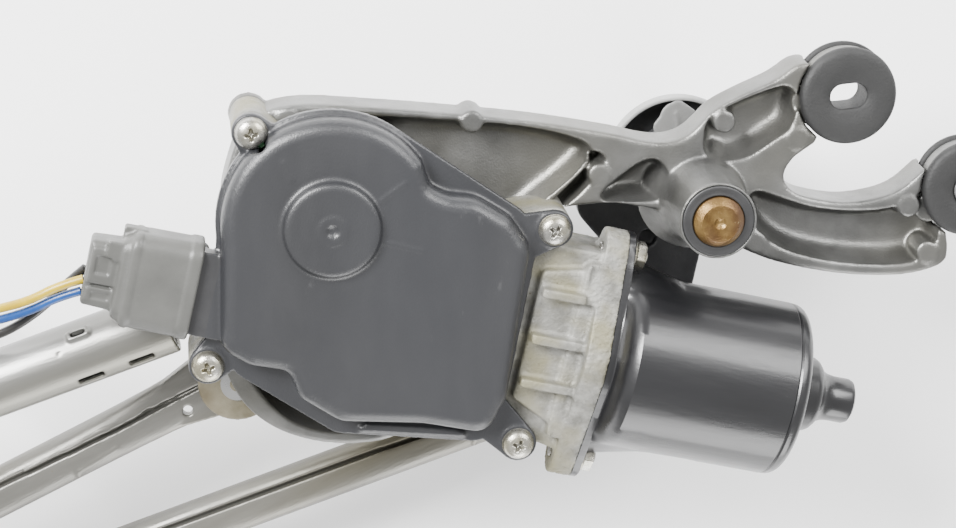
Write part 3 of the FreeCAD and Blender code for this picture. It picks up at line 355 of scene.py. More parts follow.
class Clay:
    """Closed solids, in millimetres, that become one mesh."""

    def __init__(self):
        self.bm = bmesh.new()

    def skin(self, rings, closed=False):
        """Bridge rings of points, each ring with the same count, and cap the two ends."""
        rows = [[self.bm.verts.new(point) for point in ring] for ring in rings]
        count = len(rows[0])
        pairs = list(zip(rows, rows[1:])) + ([(rows[-1], rows[0])] if closed else [])
        for first, second in pairs:
            for i in range(count):
                j = (i + 1) % count
                self.bm.faces.new((first[i], first[j], second[j], second[i]))
        if not closed:
            self.bm.faces.new(rows[0][::-1])
            self.bm.faces.new(rows[-1])
        return self

    def prism(self, outline, low, high, place=Matrix()):
        return self.skin([[place @ Vector((p.x, p.y, z)) for p in outline] for z in (low, high)])

    def box(self, x0, x1, y0, y1, z0, z1, corner=0.0, place=Matrix()):
        corners = [(x0, y0, corner), (x1, y0, corner), (x1, y1, corner), (x0, y1, corner)]
        return self.prism(rounded(corners), z0, z1, place)

    def lathe(self, profile, place=Matrix(), steps=72):
        """Turn a profile of (radius, level) points, from axis to axis, about Z."""
        poles = [self.bm.verts.new(place @ Vector((0, 0, profile[k][1]))) for k in (0, -1)]
        rows = [[self.bm.verts.new(place @ Vector((r * cos(TURN * k / steps),
                                                   r * sin(TURN * k / steps), z)))
                 for k in range(steps)] for r, z in profile[1:-1]]
        for first, second in zip(rows, rows[1:]):
            for i in range(steps):
                j = (i + 1) % steps
                self.bm.faces.new((first[i], first[j], second[j], second[i]))
        for i in range(steps):
            j = (i + 1) % steps
            self.bm.faces.new((poles[0], rows[0][j], rows[0][i]))
            self.bm.faces.new((poles[1], rows[-1][i], rows[-1][j]))
        return self

    def disc(self, radius, low, high, place=Matrix(), steps=72):
        return self.lathe([(0, low), (radius, low), (radius, high), (0, high)], place, steps)

    def tube(self, profile, place=Matrix(), steps=72, inner=None):
        """Turn a closed profile of (radius, level) points that stays off the axis."""
        rings = []
        for k in range(steps):
            angle = TURN * k / steps
            ring = []
            for r, z in profile:
                reach = inner(angle) if inner and r == 0 else r
                ring.append(place @ Vector((reach * cos(angle), reach * sin(angle), z)))
            rings.append(ring)
        return self.skin(rings, closed=True)

    def rod(self, start, end, radius, end_radius=None, place=Matrix()):
        """A rod with round ends."""
        start, end = Vector(start), Vector(end)
        last = radius if end_radius is None else end_radius
        along = end - start
        spun = along.to_track_quat("Z", "Y").to_matrix().to_4x4()
        profile = [(0, -radius)]
        profile += [(radius * sin(a), -radius * cos(a)) for a in (0.4, 0.8, 1.2, 1.57)]
        profile += [(last * sin(a), along.length - last * cos(a)) for a in (1.57, 1.94, 2.34, 2.74)]
        profile += [(0, along.length + last)]
        return self.lathe(profile, place @ Matrix.Translation(start) @ spun, 20)

    def dish(self, outline, levels, place=Matrix()):
        """A pocket's shape: the outline drawn in by a width at each (width, level)."""
        return self.skin([[place @ Vector((p.x, p.y, z)) for p in shrunk(outline, width)]
                          for width, z in levels])

    def add(self, mesh):
        self.bm.from_mesh(mesh)
        return self

    def node(self, name, place):
        """A CAD node's own shape."""
        mesh = frame["nodes"][name].data.copy()
        mesh.transform(place.inverted())
        self.bm.from_mesh(mesh)
        bpy.data.meshes.remove(mesh)
        bmesh.ops.remove_doubles(self.bm, verts=self.bm.verts, dist=0.004)
        return self

    def mesh(self):
        bmesh.ops.recalc_face_normals(self.bm, faces=self.bm.faces)
        made = bpy.data.meshes.new("clay")
        self.bm.to_mesh(made)
        self.bm.free()
        return made


def worked(mesh, steps):
    """A mesh after modifiers, each given as (type, settings)."""
    holder = placed("work", mesh)
    for kind, settings in steps:
        modifier = holder.modifiers.new(kind, kind)
        for word, value in settings.items():
            setattr(modifier, word, value)
    made = bpy.data.meshes.new_from_object(holder.evaluated_get(bpy.context.evaluated_depsgraph_get()))
    bpy.data.objects.remove(holder)
    return made


def moulded(clay, voxel, soft, cuts=None):
    """Join the clay's solids into one skin, cut it, and soften its edges."""
    remesh = ("REMESH", {"mode": "VOXEL", "voxel_size": voxel})
    mesh = worked(clay.mesh(), [remesh])
    if cuts:
        tool = placed("tool", worked(cuts.mesh(), [remesh]))
        mesh = worked(mesh, [("BOOLEAN", {"operation": "DIFFERENCE", "solver": "MANIFOLD", "object": tool}),
                             remesh])
        bpy.data.objects.remove(tool)
    return worked(mesh, [("SMOOTH", {"factor": 0.5, "iterations": soft})]) if soft else mesh


def piece(name, mesh, place, material, nodes=(), body=None, slot=None, sharp=None):
    """A finished piece that stands for CAD nodes and moves with their body."""
    mesh.transform(place)
    mesh.name = name
    if not any(mesh.materials):
        mesh.materials.clear()
        mesh.materials.append(material)
    made = placed(name, mesh)
    mesh.shade_smooth()
    if sharp:
        mesh.set_sharp_from_angle(angle=radians(sharp))
    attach(made, body or node_body[nodes[0]])
    if nodes:
        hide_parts(*nodes)
    return made


# ---- camera, light and floor

# the camera's place from the crank axis, the way it looks back, and its lens on a 36 mm sensor
CAMERA_AT, CAMERA_BACK, LENS = Vector((-54.80, 229.54, 881.03)), Vector((-0.12, 0.28, 0.9525)), 97.6
FLOOR_HALF, FLOOR_GAP = 4, 0.0002


def studio():
    back = CAMERA_BACK
    up = Vector((0, back.z, -back.y)).normalized()
    right = up.cross(back)
    camera = placed("camera", bpy.data.cameras.new("camera"))
    axes = Matrix((right, up, back)).transposed().to_4x4()
    camera.matrix_world = Matrix.Translation(PLAN @ CAMERA_AT) @ axes
    camera.data.lens, camera.data.sensor_width = LENS, 36.0
    camera.data.clip_start = 0.01
    bpy.context.scene.camera = camera
    world = bpy.data.worlds.new("world")
    bpy.context.scene.world = world
    world.use_nodes = True
    world.node_tree.nodes["Background"].inputs["Color"].default_value = (1.0, 1.0, 1.0, 1)
    world.node_tree.nodes["Background"].inputs["Strength"].default_value = 1.15
    middle = PLAN @ Vector((40, -30, 0))
    for name, offset, size, power in (("key", (-0.95, 0.85, 1.0), 0.7, 112.0),
                                      ("fill", (0.9, 0.9, 0.9), 0.8, 34.0),
                                      ("front", (0.35, -1.4, 0.55), 0.9, 26.0)):
        lamp = placed(name, bpy.data.lights.new(name, "AREA"))
        lamp.data.size = size
        lamp.data.energy = power
        lamp.location = middle + Vector(offset)
        lamp.rotation_euler = Vector(offset).to_track_quat("Z", "Y").to_euler()
    white = bpy.data.materials.new("floor")
    white.use_nodes = True
    white.node_tree.nodes["Principled BSDF"].inputs["Base Color"].default_value = (0.94, 0.94, 0.94, 1)
    white.node_tree.nodes["Principled BSDF"].inputs["Roughness"].default_value = 0.8
    sheet = Clay()
    sheet.bm.faces.new([sheet.bm.verts.new((x, y, 0)) for x, y in
                       ((-FLOOR_HALF, -FLOOR_HALF), (FLOOR_HALF, -FLOOR_HALF),
                        (FLOOR_HALF, FLOOR_HALF), (-FLOOR_HALF, FLOOR_HALF))])
    floor = placed("floor", sheet.mesh())
    floor.data.materials.append(white)
    floor.location = (0, 0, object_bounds()[0][2] - FLOOR_GAP)


# ---- wires

# each wire's route from the crank axis: out of the plug, down beside the frame tube, then flat
ROUTES = {
    "yellow": [(-81.6, -20.4, 48.5), (-89.5, -22.6, 48.3), (-99.5, -28.6, 46.5),
               (-112.0, -34.0, 39.5), (-124.5, -41.0, 22.0), (-134.5, -46.5, -4.0),
               (-147.0, -47.0, -30.0), (-168.0, -42.0, -48.3), (-195.0, -46.0, -48.3)],
    "blue": [(-82.5, -25.0, 46.8), (-90.0, -27.2, 46.4), (-98.8, -32.4, 44.5),
             (-111.0, -38.4, 37.5), (-123.0, -45.5, 20.0), (-132.0, -50.0, -8.0),
             (-145.0, -50.5, -33.0), (-166.0, -49.0, -48.3), (-190.0, -55.0, -48.3)],
    "black": [(-81.1, -18.0, 43.6), (-87.0, -23.5, 41.2), (-96.0, -34.0, 39.4),
              (-109.5, -44.4, 34.5), (-121.0, -50.5, 20.5), (-129.5, -55.0, -2.0),
              (-141.0, -57.0, -27.0), (-161.0, -59.5, -48.3), (-186.0, -71.0, -48.3)],
}
WIRE = 3.1


def wires():
    for colour, route in ROUTES.items():
        curve = bpy.data.curves.new("lead_" + colour, "CURVE")
        curve.dimensions = "3D"
        curve.bevel_depth = WIRE / 2 * MM
        curve.bevel_resolution = 5
        curve.resolution_u = 16
        curve.use_fill_caps = True
        line = curve.splines.new("NURBS")
        line.points.add(len(route) - 1)
        for point, place in zip(line.points, route):
            point.co = (*(PLAN @ Vector(place)), 1)
        line.order_u = 3
        line.use_endpoint_u = True
        lead = placed(curve.name, curve)
        curve.materials.append(SURFACES["wire_" + colour])
        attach(lead, "frame")
        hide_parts("wire_" + colour)


# ---- gearbox cover

# levels of the cover's sheet, its flange and its top, and the hole for an M5 thread
SHEET_LOW, SHEET_TOP, COVER_TOP = 48, 51, 60
THREAD, THREAD_HOLE, SEAT = 2.45, 2.7, 51.3
SCREWS = [(-32.2, 24.5), (74.3, 12.4), (-29.8, -57.1), (79.9, -64.2)]
EAR_ROOTS = [(-22.0, 17.0), (58.0, 4.0), (-20.0, -42.0), (58.0, -50.0)]
SOCKET_V = -32.0
HOUSE = 36.6


def house_arc(radius, first, last, steps=30):
    """Part of the round wheel house, as corners of an outline."""
    found = []
    for k in range(steps + 1):
        angle = radians(first + (last - first) * k / steps)
        found.append((radius * cos(angle), radius * sin(angle), 0.0))
    return found


def cover():
    top = rounded([(17.5, -66.2, 9.0), (44.7, -61.6, 30.0), (67.5, -61.0, 7.0), (71.2, -47.0, 8.0),
                   (66.8, 6.0, 7.0), (57.5, 14.6, 5.0), (45.0, 19.0, 12.0), (35.5, 18.0, 7.0),
                   (29.0, 19.5, 5.0)] + house_arc(HOUSE, 48, 200) +
                  [(-27.0, -49.0, 7.0), (-16.5, -52.4, 5.0), (-3.4, -52.0, 5.0), (2.2, -60.5, 6.0)])
    foot = rounded([(17.5, -72.5, 8.0), (69.0, -66.0, 6.0), (72.2, -50.0, 6.0), (70.0, 9.0, 5.0),
                    (62.0, 16.6, 6.0)] + house_arc(38.3, 66, 199) + [(-29.5, -50.0, 6.0), (-19.0, -58.6, 8.0)])
    clay = Clay()
    shoulder = 4.6
    for k in range(9):
        angle = pi / 2 * k / 8
        clay.prism(shrunk(top, shoulder * (1 - cos(angle))), SHEET_LOW + 1,
                   COVER_TOP - shoulder * (1 - sin(angle)))
    clay.prism(foot, SHEET_LOW, SHEET_TOP)
    for (x, y), (root_x, root_y) in zip(SCREWS, EAR_ROOTS):
        clay.prism(belt((x, y, 6.5), (root_x, root_y, 9.0)), SHEET_LOW, SHEET_TOP)
        clay.lathe([(0, 48), (6.5, 48), (6.5, 51.3), (6.1, 51.6), (0, 51.6)], shifted(x, y))
    # the round boss over the wheel's shaft, with its ring
    clay.lathe([(0, 59), (16.3, 59), (16.3, 61.2), (15.9, 62.2), (15.1, 62.8), (14.0, 63), (0, 63)], steps=96)
    clay.lathe([(0, 58), (17.6, 58), (17.2, 60.1), (16.2, 60.6), (0, 60.6)], steps=96)
    clay.lathe([(0, 62), (5.0, 62), (4.9, 63.35), (0, 63.35)])
    # feed ribs and the rib on the lower edge
    for x0, y0, x1, y1, radius in ((-20.6, 19.1, -16.3, 13.6, 0.8), (13.4, 12.3, 20.3, 20.2, 0.8),
                                   (17.1, -1.0, 30.9, -1.5, 0.8)):
        clay.rod((x0, y0, 59.6), (x1, y1, 59.6), radius)
    clay.rod((25.8, -69.0, 51.2), (60.0, -64.2, 51.4), 1.3)
    clay.rod((27.0, -67.4, 51.6), (58.0, -63.2, 51.6), 0.6)
    # connector socket
    clay.box(-53.6, -36.5, SOCKET_V - 14.6, SOCKET_V + 14.6, 40.8, 54.6, 3.0)
    clay.box(-40, -22, SOCKET_V - 14.6, SOCKET_V + 14.6, 48, 54.6, 2.0)
    cuts = Clay()
    cuts.prism(shrunk(top, 2.4), 46.5, 57.3)
    cuts.box(-60, -38, SOCKET_V - 12.9, SOCKET_V + 12.9, 42.6, 53.4)
    cuts.box(-40, -20, SOCKET_V - 11, SOCKET_V + 11, 48.4, 50.3)
    cuts.lathe([(0, 62.3), (1.0, 62.3), (1.1, 64), (0, 64)])
    cuts.tube([(1.7, 62.7), (2.4, 62.7), (2.4, 64), (1.7, 64)])
    for x, y in SCREWS:
        cuts.lathe([(0, 46), (THREAD_HOLE, 46), (THREAD_HOLE, SEAT), (5.5, SEAT), (5.6, 64), (0, 64)],
                   shifted(x, y))
    mesh = moulded(clay, 0.5, 5, cuts)
    made = piece("cover_moulding", mesh, MOTOR, COVER, ["gear_cover"])
    made.data.materials.append(SOCKET_DARK)
    inverse = MOTOR.inverted()
    for face in made.data.polygons:
        centre = inverse @ face.center
        if centre.x < -33.2 and abs(centre.y - SOCKET_V) < 15.6 and (centre.x < -36.4 or centre.z < 56):
            face.material_index = 1
    return made


# ---- gear case and motor

YOKE_FACE, CAN_END, YOKE_R, WALL = 104.5, 171.0, 30.3, 2.2
FLANGE_LOW, FLANGE_FACE = 94.0, 102.0
MOTOR_EAR = 37.0


def ear_reach(angle):
    """How far the motor's flange reaches from the axis, at an angle from its ears' line."""
    angle = abs((angle + pi / 2) % pi - pi / 2)
    flank = 20.0 / cos(min(1.241 - angle, 1.45)) if angle < 1.241 else 20.0
    tip_sine = 8.0 ** 2 - (MOTOR_EAR * sin(angle)) ** 2
    if tip_sine > 0:
        return min(flank, MOTOR_EAR * cos(angle) + sqrt(tip_sine))
    return flank


def case():
    clay = Clay().node("gear_case", MOTOR)
    # ribs run out of the end wall, thick towards the flange
    for v in (-9.0, -25.5, -41.5):
        clay.rod((76.5, v + 0.5, 50.6), (91.5, v, 52.6), 1.3, 1.7)
    clay.box(88.5, 96, -60, 3.0, 47, 52.6, 2.0)
    clay.box(60, 92, worm.y - 5, worm.y + 5, 46.2, 48.6)
    cuts = Clay()
    # the joint flange keeps to the oval round its two ears
    spin = MOTOR.inverted() @ SPIN
    for side in (-1, 1):
        flank = [radians(angle) for angle in range(18, 163, 6)]
        edge = [Vector((side * ear_reach(a) * sin(a), ear_reach(a) * cos(a))) for a in flank]
        beyond = [Vector((side * 36 * sin(a), 36 * cos(a))) for a in flank[::-1]]
        cuts.prism(edge + beyond, FLANGE_LOW - 4, FLANGE_FACE + 2, spin)
    mesh = moulded(clay, 0.6, 3, cuts)
    rough = random.Random(4)
    # the joint face is pitted, so its edge is uneven
    for vertex in mesh.vertices:
        if vertex.co.x > FLANGE_LOW - 3:
            vertex.co += Vector((rough.uniform(-0.12, 0.12), rough.uniform(-0.2, 0.2),
                                 rough.uniform(-0.2, 0.2)))
    return piece("case_casting", mesh, MOTOR, GEAR_CAST, ["gear_case"])


def yoke():
    """The motor's drawn can: its mouth follows the oval flange and swells to a round can."""
    clay = Clay()
    steps = 180

    def ring(level, radius, ears=0.0, flank=0.0):
        """A section; ears and flank say how much of the oval's length and flats is left."""
        points = []
        for k in range(steps):
            angle = TURN * k / steps
            from_ears = angle - pi / 2
            oval = ear_reach(from_ears)
            share = ears if oval > radius else flank
            reach = radius + (oval - radius) * share
            points.append(Vector((reach * cos(angle), reach * sin(angle), level)))
        return points

    stations = [(FLANGE_FACE, YOKE_R, 1.0, 1.0), (YOKE_FACE - 0.4, YOKE_R, 1.0, 1.0),
                (YOKE_FACE, YOKE_R, 0.97, 0.96), (YOKE_FACE + 0.2, YOKE_R, 0.40, 0.85)]
    for k in range(1, 13):
        share = k / 12
        flank = max(0.0, 1 - share * 5.0)
        stations.append((YOKE_FACE + 22 * share, YOKE_R, 0.38 * (1 - share), 0.62 * flank))
    for k in range(1, 10):
        stations.append((126.5 + (CAN_END - 5.4 - 126.5) * k / 9, YOKE_R))
    stations += [(CAN_END - 4.8, YOKE_R - 0.45), (CAN_END - 4.2, YOKE_R - 0.1)]
    for k in range(1, 8):
        angle = pi / 2 * k / 7
        stations.append((CAN_END - 3.8 + 3.8 * sin(angle), YOKE_R - 3.8 + 3.7 * cos(angle)))
    stations += [(CAN_END - 0.3, 20.0), (CAN_END - 0.4, 15.4), (CAN_END + 0.3, 14.2), (CAN_END + 1.2, 13.7),
                 (CAN_END + 7.5, 13.0), (CAN_END + 9.0, 12.3), (CAN_END + 10.2, 11.0),
                 (CAN_END + 11.6, 9.2), (CAN_END + 13.4, 8.3), (CAN_END + 16.0, 7.9),
                 (CAN_END + 21.4, 7.9), (CAN_END + 22.8, 7.3), (CAN_END + 23.5, 6.0), (CAN_END + 23.5, 2.5)]
    inner = [(CAN_END + 10.0, 2.5), (CAN_END + 10.0, 4.0), (CAN_END + 7.0, 4.2), (CAN_END + 6.9, 6.5),
             (CAN_END - 2.0, 6.6), (CAN_END - 2.1, 24.0), (CAN_END - 4.4, YOKE_R - WALL),
             (YOKE_FACE + 14, YOKE_R - WALL)]
    outer = [ring(*station) for station in stations]
    inside = [ring(*station) for station in inner]
    rim = ring(0, YOKE_R, 0.0, 1.0)
    mouth = [Vector((*(p.xy * (1 - WALL / p.xy.length)), FLANGE_FACE)) for p in rim]
    rows = [[clay.bm.verts.new(p) for p in line] for line in outer + inside + [mouth]]
    last = len(outer)
    for i, (first, second) in enumerate(zip(rows, rows[1:])):
        if i != last - 1:
            for a in range(steps):
                b = (a + 1) % steps
                clay.bm.faces.new((first[a], first[b], second[b], second[a]))
    clay.bm.faces.new(rows[last - 1])
    clay.bm.faces.new(rows[last][::-1])
    for a in range(steps):
        b = (a + 1) % steps
        clay.bm.faces.new((rows[-1][a], rows[-1][b], rows[0][b], rows[0][a]))
    mesh = clay.mesh()
    dents = random.Random(9)
    spots = [(dents.uniform(0, TURN), dents.uniform(115, 165), dents.uniform(3, 7)) for _ in range(12)]
    for vertex in mesh.vertices:
        angle = atan2(vertex.co.y, vertex.co.x)
        reach = hypot(vertex.co.x, vertex.co.y)
        if reach > 29 and 108 < vertex.co.z < CAN_END - 6:
            for spot_angle, level, size in spots:
                turn = (angle - spot_angle + pi) % TURN - pi
                gap = hypot(turn * reach, vertex.co.z - level)
                if gap < size:
                    vertex.co.xy *= 1 - 0.2 * (1 - (gap / size) ** 2) ** 2 / reach
    piece("motor_can", mesh, SPIN, PAINT, ["yoke"], sharp=28)
    # the brush plate is trimmed to pass under the oval mouth
    trimmed = Clay().node("brush_holder", SPIN).mesh()
    for vertex in trimmed.vertices:
        limit = ear_reach(atan2(vertex.co.y, vertex.co.x) - pi / 2) - 1.8
        if vertex.co.xy.length > limit:
            vertex.co.xy *= limit / vertex.co.xy.length
    piece("brush_plate", trimmed, SPIN, INNER, ["brush_holder"], sharp=30)


def cross_recess(clay, place, depth):
    """A cross-shaped recess, narrowing downwards."""
    for turn in (0.3, 0.3 + pi / 2):
        spun = place @ turned(turn)
        rings = [[spun @ Vector((x, y, z)) for x, y in
                  ((-half, -wide), (half, -wide), (half, wide), (-half, wide))]
                 for half, wide, z in ((1.1, 0.35, -depth), (2.5, 0.62, 0.0), (2.8, 0.68, 1.0))]
        clay.skin(rings)


def screws():
    seat = SEAT
    head = [(0, seat - 0.2), (5.35, seat - 0.2), (5.4, seat + 0.5), (5.1, seat + 1.5), (4.4, seat + 2.4),
            (3.2, seat + 3.1), (1.8, seat + 3.45), (0, seat + 3.5)]
    clay, cuts = Clay(), Clay()
    for index, (x, y) in enumerate(SCREWS):
        clay.lathe(head, shifted(x, y))
        clay.lathe([(0, 35), (2.2, 35), (THREAD, 35.6), (THREAD, seat), (0, seat)], shifted(x, y), 32)
        clay.disc(6.3, seat - 0.6, seat - 0.05,
                   shifted(x, y))
        cross_recess(cuts, shifted(x, y, seat + 3.3) @ turned(0.9 * index), 2.3)
    mesh = moulded(clay, 0.3, 2, cuts)
    piece("cover_screw_set", mesh, MOTOR, SCREW, ["cover_screws"])
    clay = Clay()
    for side in (-1, 1):
        where = shifted(0, side * MOTOR_EAR, YOKE_FACE)
        clay.prism(round_outline(5.6, steps=6), 0.9, 4.6, where)
        clay.disc(6.2, 0, 0.9, where)
        clay.lathe([(0, -11), (THREAD, -11), (THREAD, 5.2), (1.9, 5.6), (0, 5.6)], where, 32)
    piece("motor_bolt_set", moulded(clay, 0.3, 2), SPIN, SCREW, ["yoke_bolts"])
    clay = Clay()
    for x, y in BRACKET_SCREWS:
        clay.lathe([(0, 16), (4.2, 16), (4.9, 16.6), (5.0, 20), (0, 20)], shifted(x, y))
        clay.disc(THREAD, 20, 31, shifted(x, y), 32)
    cuts = Clay()
    for x, y in BRACKET_SCREWS:
        cross_recess(cuts, shifted(x, y, 16.1) @ turned(pi, "X"), 2.2)
    piece("bracket_screw_set", moulded(clay, 0.3, 2, cuts), MOTOR, SCREW, ["bracket_screws"])


# ---- bracket

BRACKET_EDGE = [(-37, -48), (-29, -68), (-14, -80), (7, -84.5), (28, -80), (41, -60), (47, -32), (60, -14),
                (74, -1.6), (93, 2.2), (106, 1.2), (117, -1.4), (132, -8), (146, -15), (159, -19.4),
                (178, -22.8), (197, -23.6), (210, -21.5), (217, -17), (216, -6), (212.5, 4), (212.5, 14),
                (210.5, 19.5), (206.5, 15.7), (196.2, 7.1), (180.5, 3.5), (166, 5.2), (159.6, 8), (157, 12.7),
                (159.6, 18.3), (165.2, 22.8), (167.4, 25), (169.5, 33), (169, 43), (166, 51), (159.3, 52),
                (151.4, 46.6), (140, 41), (131.6, 36.2), (126, 30.5), (121, 26.2), (114, 24.4),
                (106, 25.1), (95.5, 27.4), (71, 31.1), (47, 33.4), (17, 35.6), (-13, 36.4), (-28, 29.4),
                (-35, 11), (-36.5, -5), (-38, -28)]
POCKETS = [[(-28, -10), (-26, 16), (-12, 31), (16, 31.6), (36, 30.6), (58, 29.2), (72, 27.3), (83, 24.6),
            (88, 21.5), (86.5, 17), (79, 9.5), (69, 1), (55, -14), (42, -34), (37, -57), (26, -74), (5, -79),
            (-12, -74), (-24, -60), (-31, -42)],
           [(94, 4.9), (100.5, 11.6), (107, 16.4), (112, 17), (115, 13.6), (115.4, 8.4), (113.4, 5.2),
            (108, 4.2), (101, 4.1)],
           [(128.8, 25), (129.6, 31), (133.4, 34.4), (143.3, 39.4), (153.6, 43), (157.6, 41.4),
            (158.4, 35.8), (156.6, 30), (151, 25.4), (143, 20.2), (135, 19), (130, 20.6)],
           [(147, 6), (157, 3.4), (168, 0.4), (183, -0.9), (195, 0.2), (203.5, 3.4), (208.5, 9), (211, 4),
            (212, -8), (210, -15), (199.6, -18), (186, -17.9), (172.3, -16.3), (159.5, -12.8),
            (151, -7.4), (146, 0)]]
TRENCH = [(89.4, 20.4), (92.6, 20), (94, 16.8), (89, 9.6), (80, 0.6), (76, -0.4), (75.4, 1.6), (82, 9),
          (88.4, 16)]
EJECTOR_MARKS = [(-14.3, 31.2), (47.9, 31.0), (92.3, 12.8), (134.6, 31.6), (160.4, 25.8), (201.6, 2.0),
                 (148.4, -11.2), (209.5, -14.5)]
DISH = [(-1.6, 37), (-1.0, 35.6), (-0.6, 33.0), (0.0, 29.5), (1.1, 26.6), (2.8, 24.7), (4.6, 24.1)]


BRACKET_SCREWS = [SCREWS[0], SCREWS[1], SCREWS[3]]


def bracket():
    """A solid casting with dished pockets between its rims, and a boss and two eyes for rubbers."""
    clay, cuts = Clay(), Clay()
    edge = smooth_outline(BRACKET_EDGE)
    clay.skin([[Vector((p.x, p.y, z)) for p in shrunk(edge, width)]
               for width, z in ((0.6, 20), (0, 20.8), (0.3, 35.2), (0.7, 35.8), (1.2, 36))])
    for outline in POCKETS:
        cuts.dish(smooth_outline(outline), DISH)
    cuts.dish(smooth_outline(TRENCH), [(-0.4, 37), (0.0, 34.5), (0.5, 30.0), (1.0, 25.0)])
    for ear in (upper_ear, right_ear):
        cuts.disc(17.4, 18, 38, shifted(ear.x, ear.y))
    body = moulded(clay, 0.6, 0, cuts)
    clay, cuts = Clay().add(body), Clay()
    for x, y in EJECTOR_MARKS:
        clay.lathe([(0, 22), (4.6, 22), (4.2, 30), (3.9, 36.3), (3.6, 36.6), (0, 36.6)], shifted(x, y), 36)
    for ear in (upper_ear, right_ear):
        clay.lathe([(0, 26.5), (15.4, 26.5), (16, 27.1), (16, 32.9), (15.4, 33.5), (0, 33.5)],
                   shifted(ear.x, ear.y))
    clay.prism(belt((164, 38, 6), (171, 40, 8)), 26.5, 33.5)
    clay.prism(belt((209.5, 0.5, 5), (215, 4, 7)), 26.5, 33.5)
    clay.prism(belt((16, -56, 9), (65.8, -78.6, 8.5)), 20, 24)
    clay.lathe([(0, -2), (12.8, -2), (13.1, -1.6), (13.1, 18), (16.5, 20.4), (21, 22), (19.5, 25),
                (17.2, 29), (15.4, 34), (14.2, 40), (13.5, 48), (13.2, 55), (13.1, 62.7), (12.8, 63), (0, 63)],
               shifted(near.x, near.y), 96)
    cuts.lathe([(0, -4), (10, -4), (10, 61), (12.2, 61), (12.3, 70), (0, 70)], shifted(near.x, near.y), 96)
    cuts.disc(10.6, 15, 26)
    for ear in (upper_ear, right_ear):
        cuts.disc(11.5, 20, 40, shifted(ear.x, ear.y))
    in_bracket = PLAN.inverted() @ MOTOR
    for x, y in BRACKET_SCREWS:
        where = in_bracket @ Vector((x, y, 0))
        clay.lathe([(0, 20), (7, 20), (6.5, 24.2), (0, 24.2)], shifted(where.x, where.y))
        cuts.disc(THREAD_HOLE, 15, 26, shifted(where.x, where.y), 24)
    piece("bracket_casting", moulded(clay, 0.6, 3, cuts), PLAN, CAST, ["main_bracket"])


def far_casting():
    clay = Clay().node("far_pivot_housing", PLAN)
    clay.lathe([(0, 20), (18, 20), (16.5, 26), (14.6, 36), (13.6, 48), (13.3, 60), (0, 60)],
               shifted(far.x, far.y))
    cuts = Clay()
    cuts.lathe([(0, -4), (10, -4), (10, 61), (12.2, 61), (12.2, 70), (0, 70)], shifted(far.x, far.y))
    piece("far_casting", moulded(clay, 0.75, 5, cuts), PLAN, CAST, ["far_pivot_housing"])


def frame_tube():
    radius, bore = 11.3, 9.6
    clay = Clay().tube([(bore, 0), (radius - 0.3, 0), (radius, 0.5), (radius, tube_length - 0.5),
                        (radius - 0.3, tube_length), (bore, tube_length)], steps=96)
    # local X points down and local Y away from the upper ear's side
    def on_tube(angle, along, rise):
        """A place on the tube's skin, at an angle from its top towards the lower links."""
        return turned(angle + pi) @ shifted(radius + rise, 0, along)
    lance = on_tube(radians(50), 30.0, 0)
    clay.box(-1.6, 1.1, -2.0, 2.0, -3.8, 3.8, 0.6, lance)
    cuts = Clay()
    cuts.box(-4.0, 2.0, -0.9, 0.9, -2.6, 2.6, 0.3, lance)
    for along in (13.0, 31.2):
        slot = on_tube(radians(-42), along, 0)
        cuts.box(-3.0, 2.0, -1.7, 1.7, -4.4, 4.4, 1.0, slot)
    for along in (14.0, 32.0):
        slot = on_tube(radians(116), along, 0)
        cuts.box(-3.0, 2.0, -1.1, 1.1, -4.4, 4.4, 1.0, slot)
    for along in (tube_length - 13.0, tube_length - 31.0):
        slot = on_tube(radians(-68), along, 0)
        cuts.box(-3.0, 2.0, -1.1, 1.1, -4.4, 4.4, 1.0, slot)
    dimple = on_tube(radians(28), 38.2, 0.3)
    cuts.rod((0, 0, -0.1), (0.01, 0, 0.1), 0.9, place=dimple)
    mesh = moulded(clay, 0.5, 3, cuts)
    piece("tube_pressing", mesh, TUBE, TUBE_STEEL, ["frame_tube"])


# ---- ears

def oval_hole(angle):
    """Reach of the oval hole's edge, at an angle: a slot with round ends."""
    lean, half, radius = 0.12, 2.1, 4.3
    along, across = abs(cos(angle - lean)), abs(sin(angle - lean))
    if across * half > along * radius:
        return radius / across
    return half * along + sqrt(radius ** 2 - (half * across) ** 2)


def grommets():
    for name, where, node, inner in (("upper_ear_rubber", upper_ear, "upper_grommet", oval_hole),
                                     ("right_ear_rubber", right_ear, "right_grommet", None),
                                     ("far_ear_rubber", far_ear, "far_grommet", None)):
        hole = 0 if inner else 6.05
        bulge = [(hole, 22.9), (7.4, 22.2), (9.0, 22.0), (14.6, 22.0), (16.2, 22.7), (16.9, 24.0),
                 (16.9, 25.6), (16.4, 26.3), (11.6, 26.6), (11.6, 33.4), (16.4, 33.7), (16.9, 34.4),
                 (16.9, 36.0), (16.2, 37.3), (14.6, 38.0), (9.6, 38.0), (8.2, 37.6), (hole, 37.0),
                 (hole, 36.2), (hole, 30.0), (hole, 23.6)]
        mesh = Clay().tube(bulge, steps=72, inner=inner).mesh()
        mesh = worked(mesh, [("SUBSURF", {"levels": 2})])
        piece(name, mesh, PLAN @ shifted(where.x, where.y), RUBBER, [node])
    for name, where, node in (("right_ear_sleeve", right_ear, "right_sleeve"),
                              ("far_ear_sleeve", far_ear, "far_sleeve")):
        profile = [(4.2, 21.0), (4.7, 20.5), (10.6, 20.5), (11.0, 20.9), (11.0, 21.7), (10.7, 22.0),
                   (6.0, 22.0), (6.0, 37.6), (5.6, 38.0), (4.7, 38.0), (4.2, 37.5)]
        mesh = Clay().tube(profile, steps=64).mesh()
        piece(name, mesh, PLAN @ shifted(where.x, where.y), STEEL, [node], sharp=35)


# ---- pivots

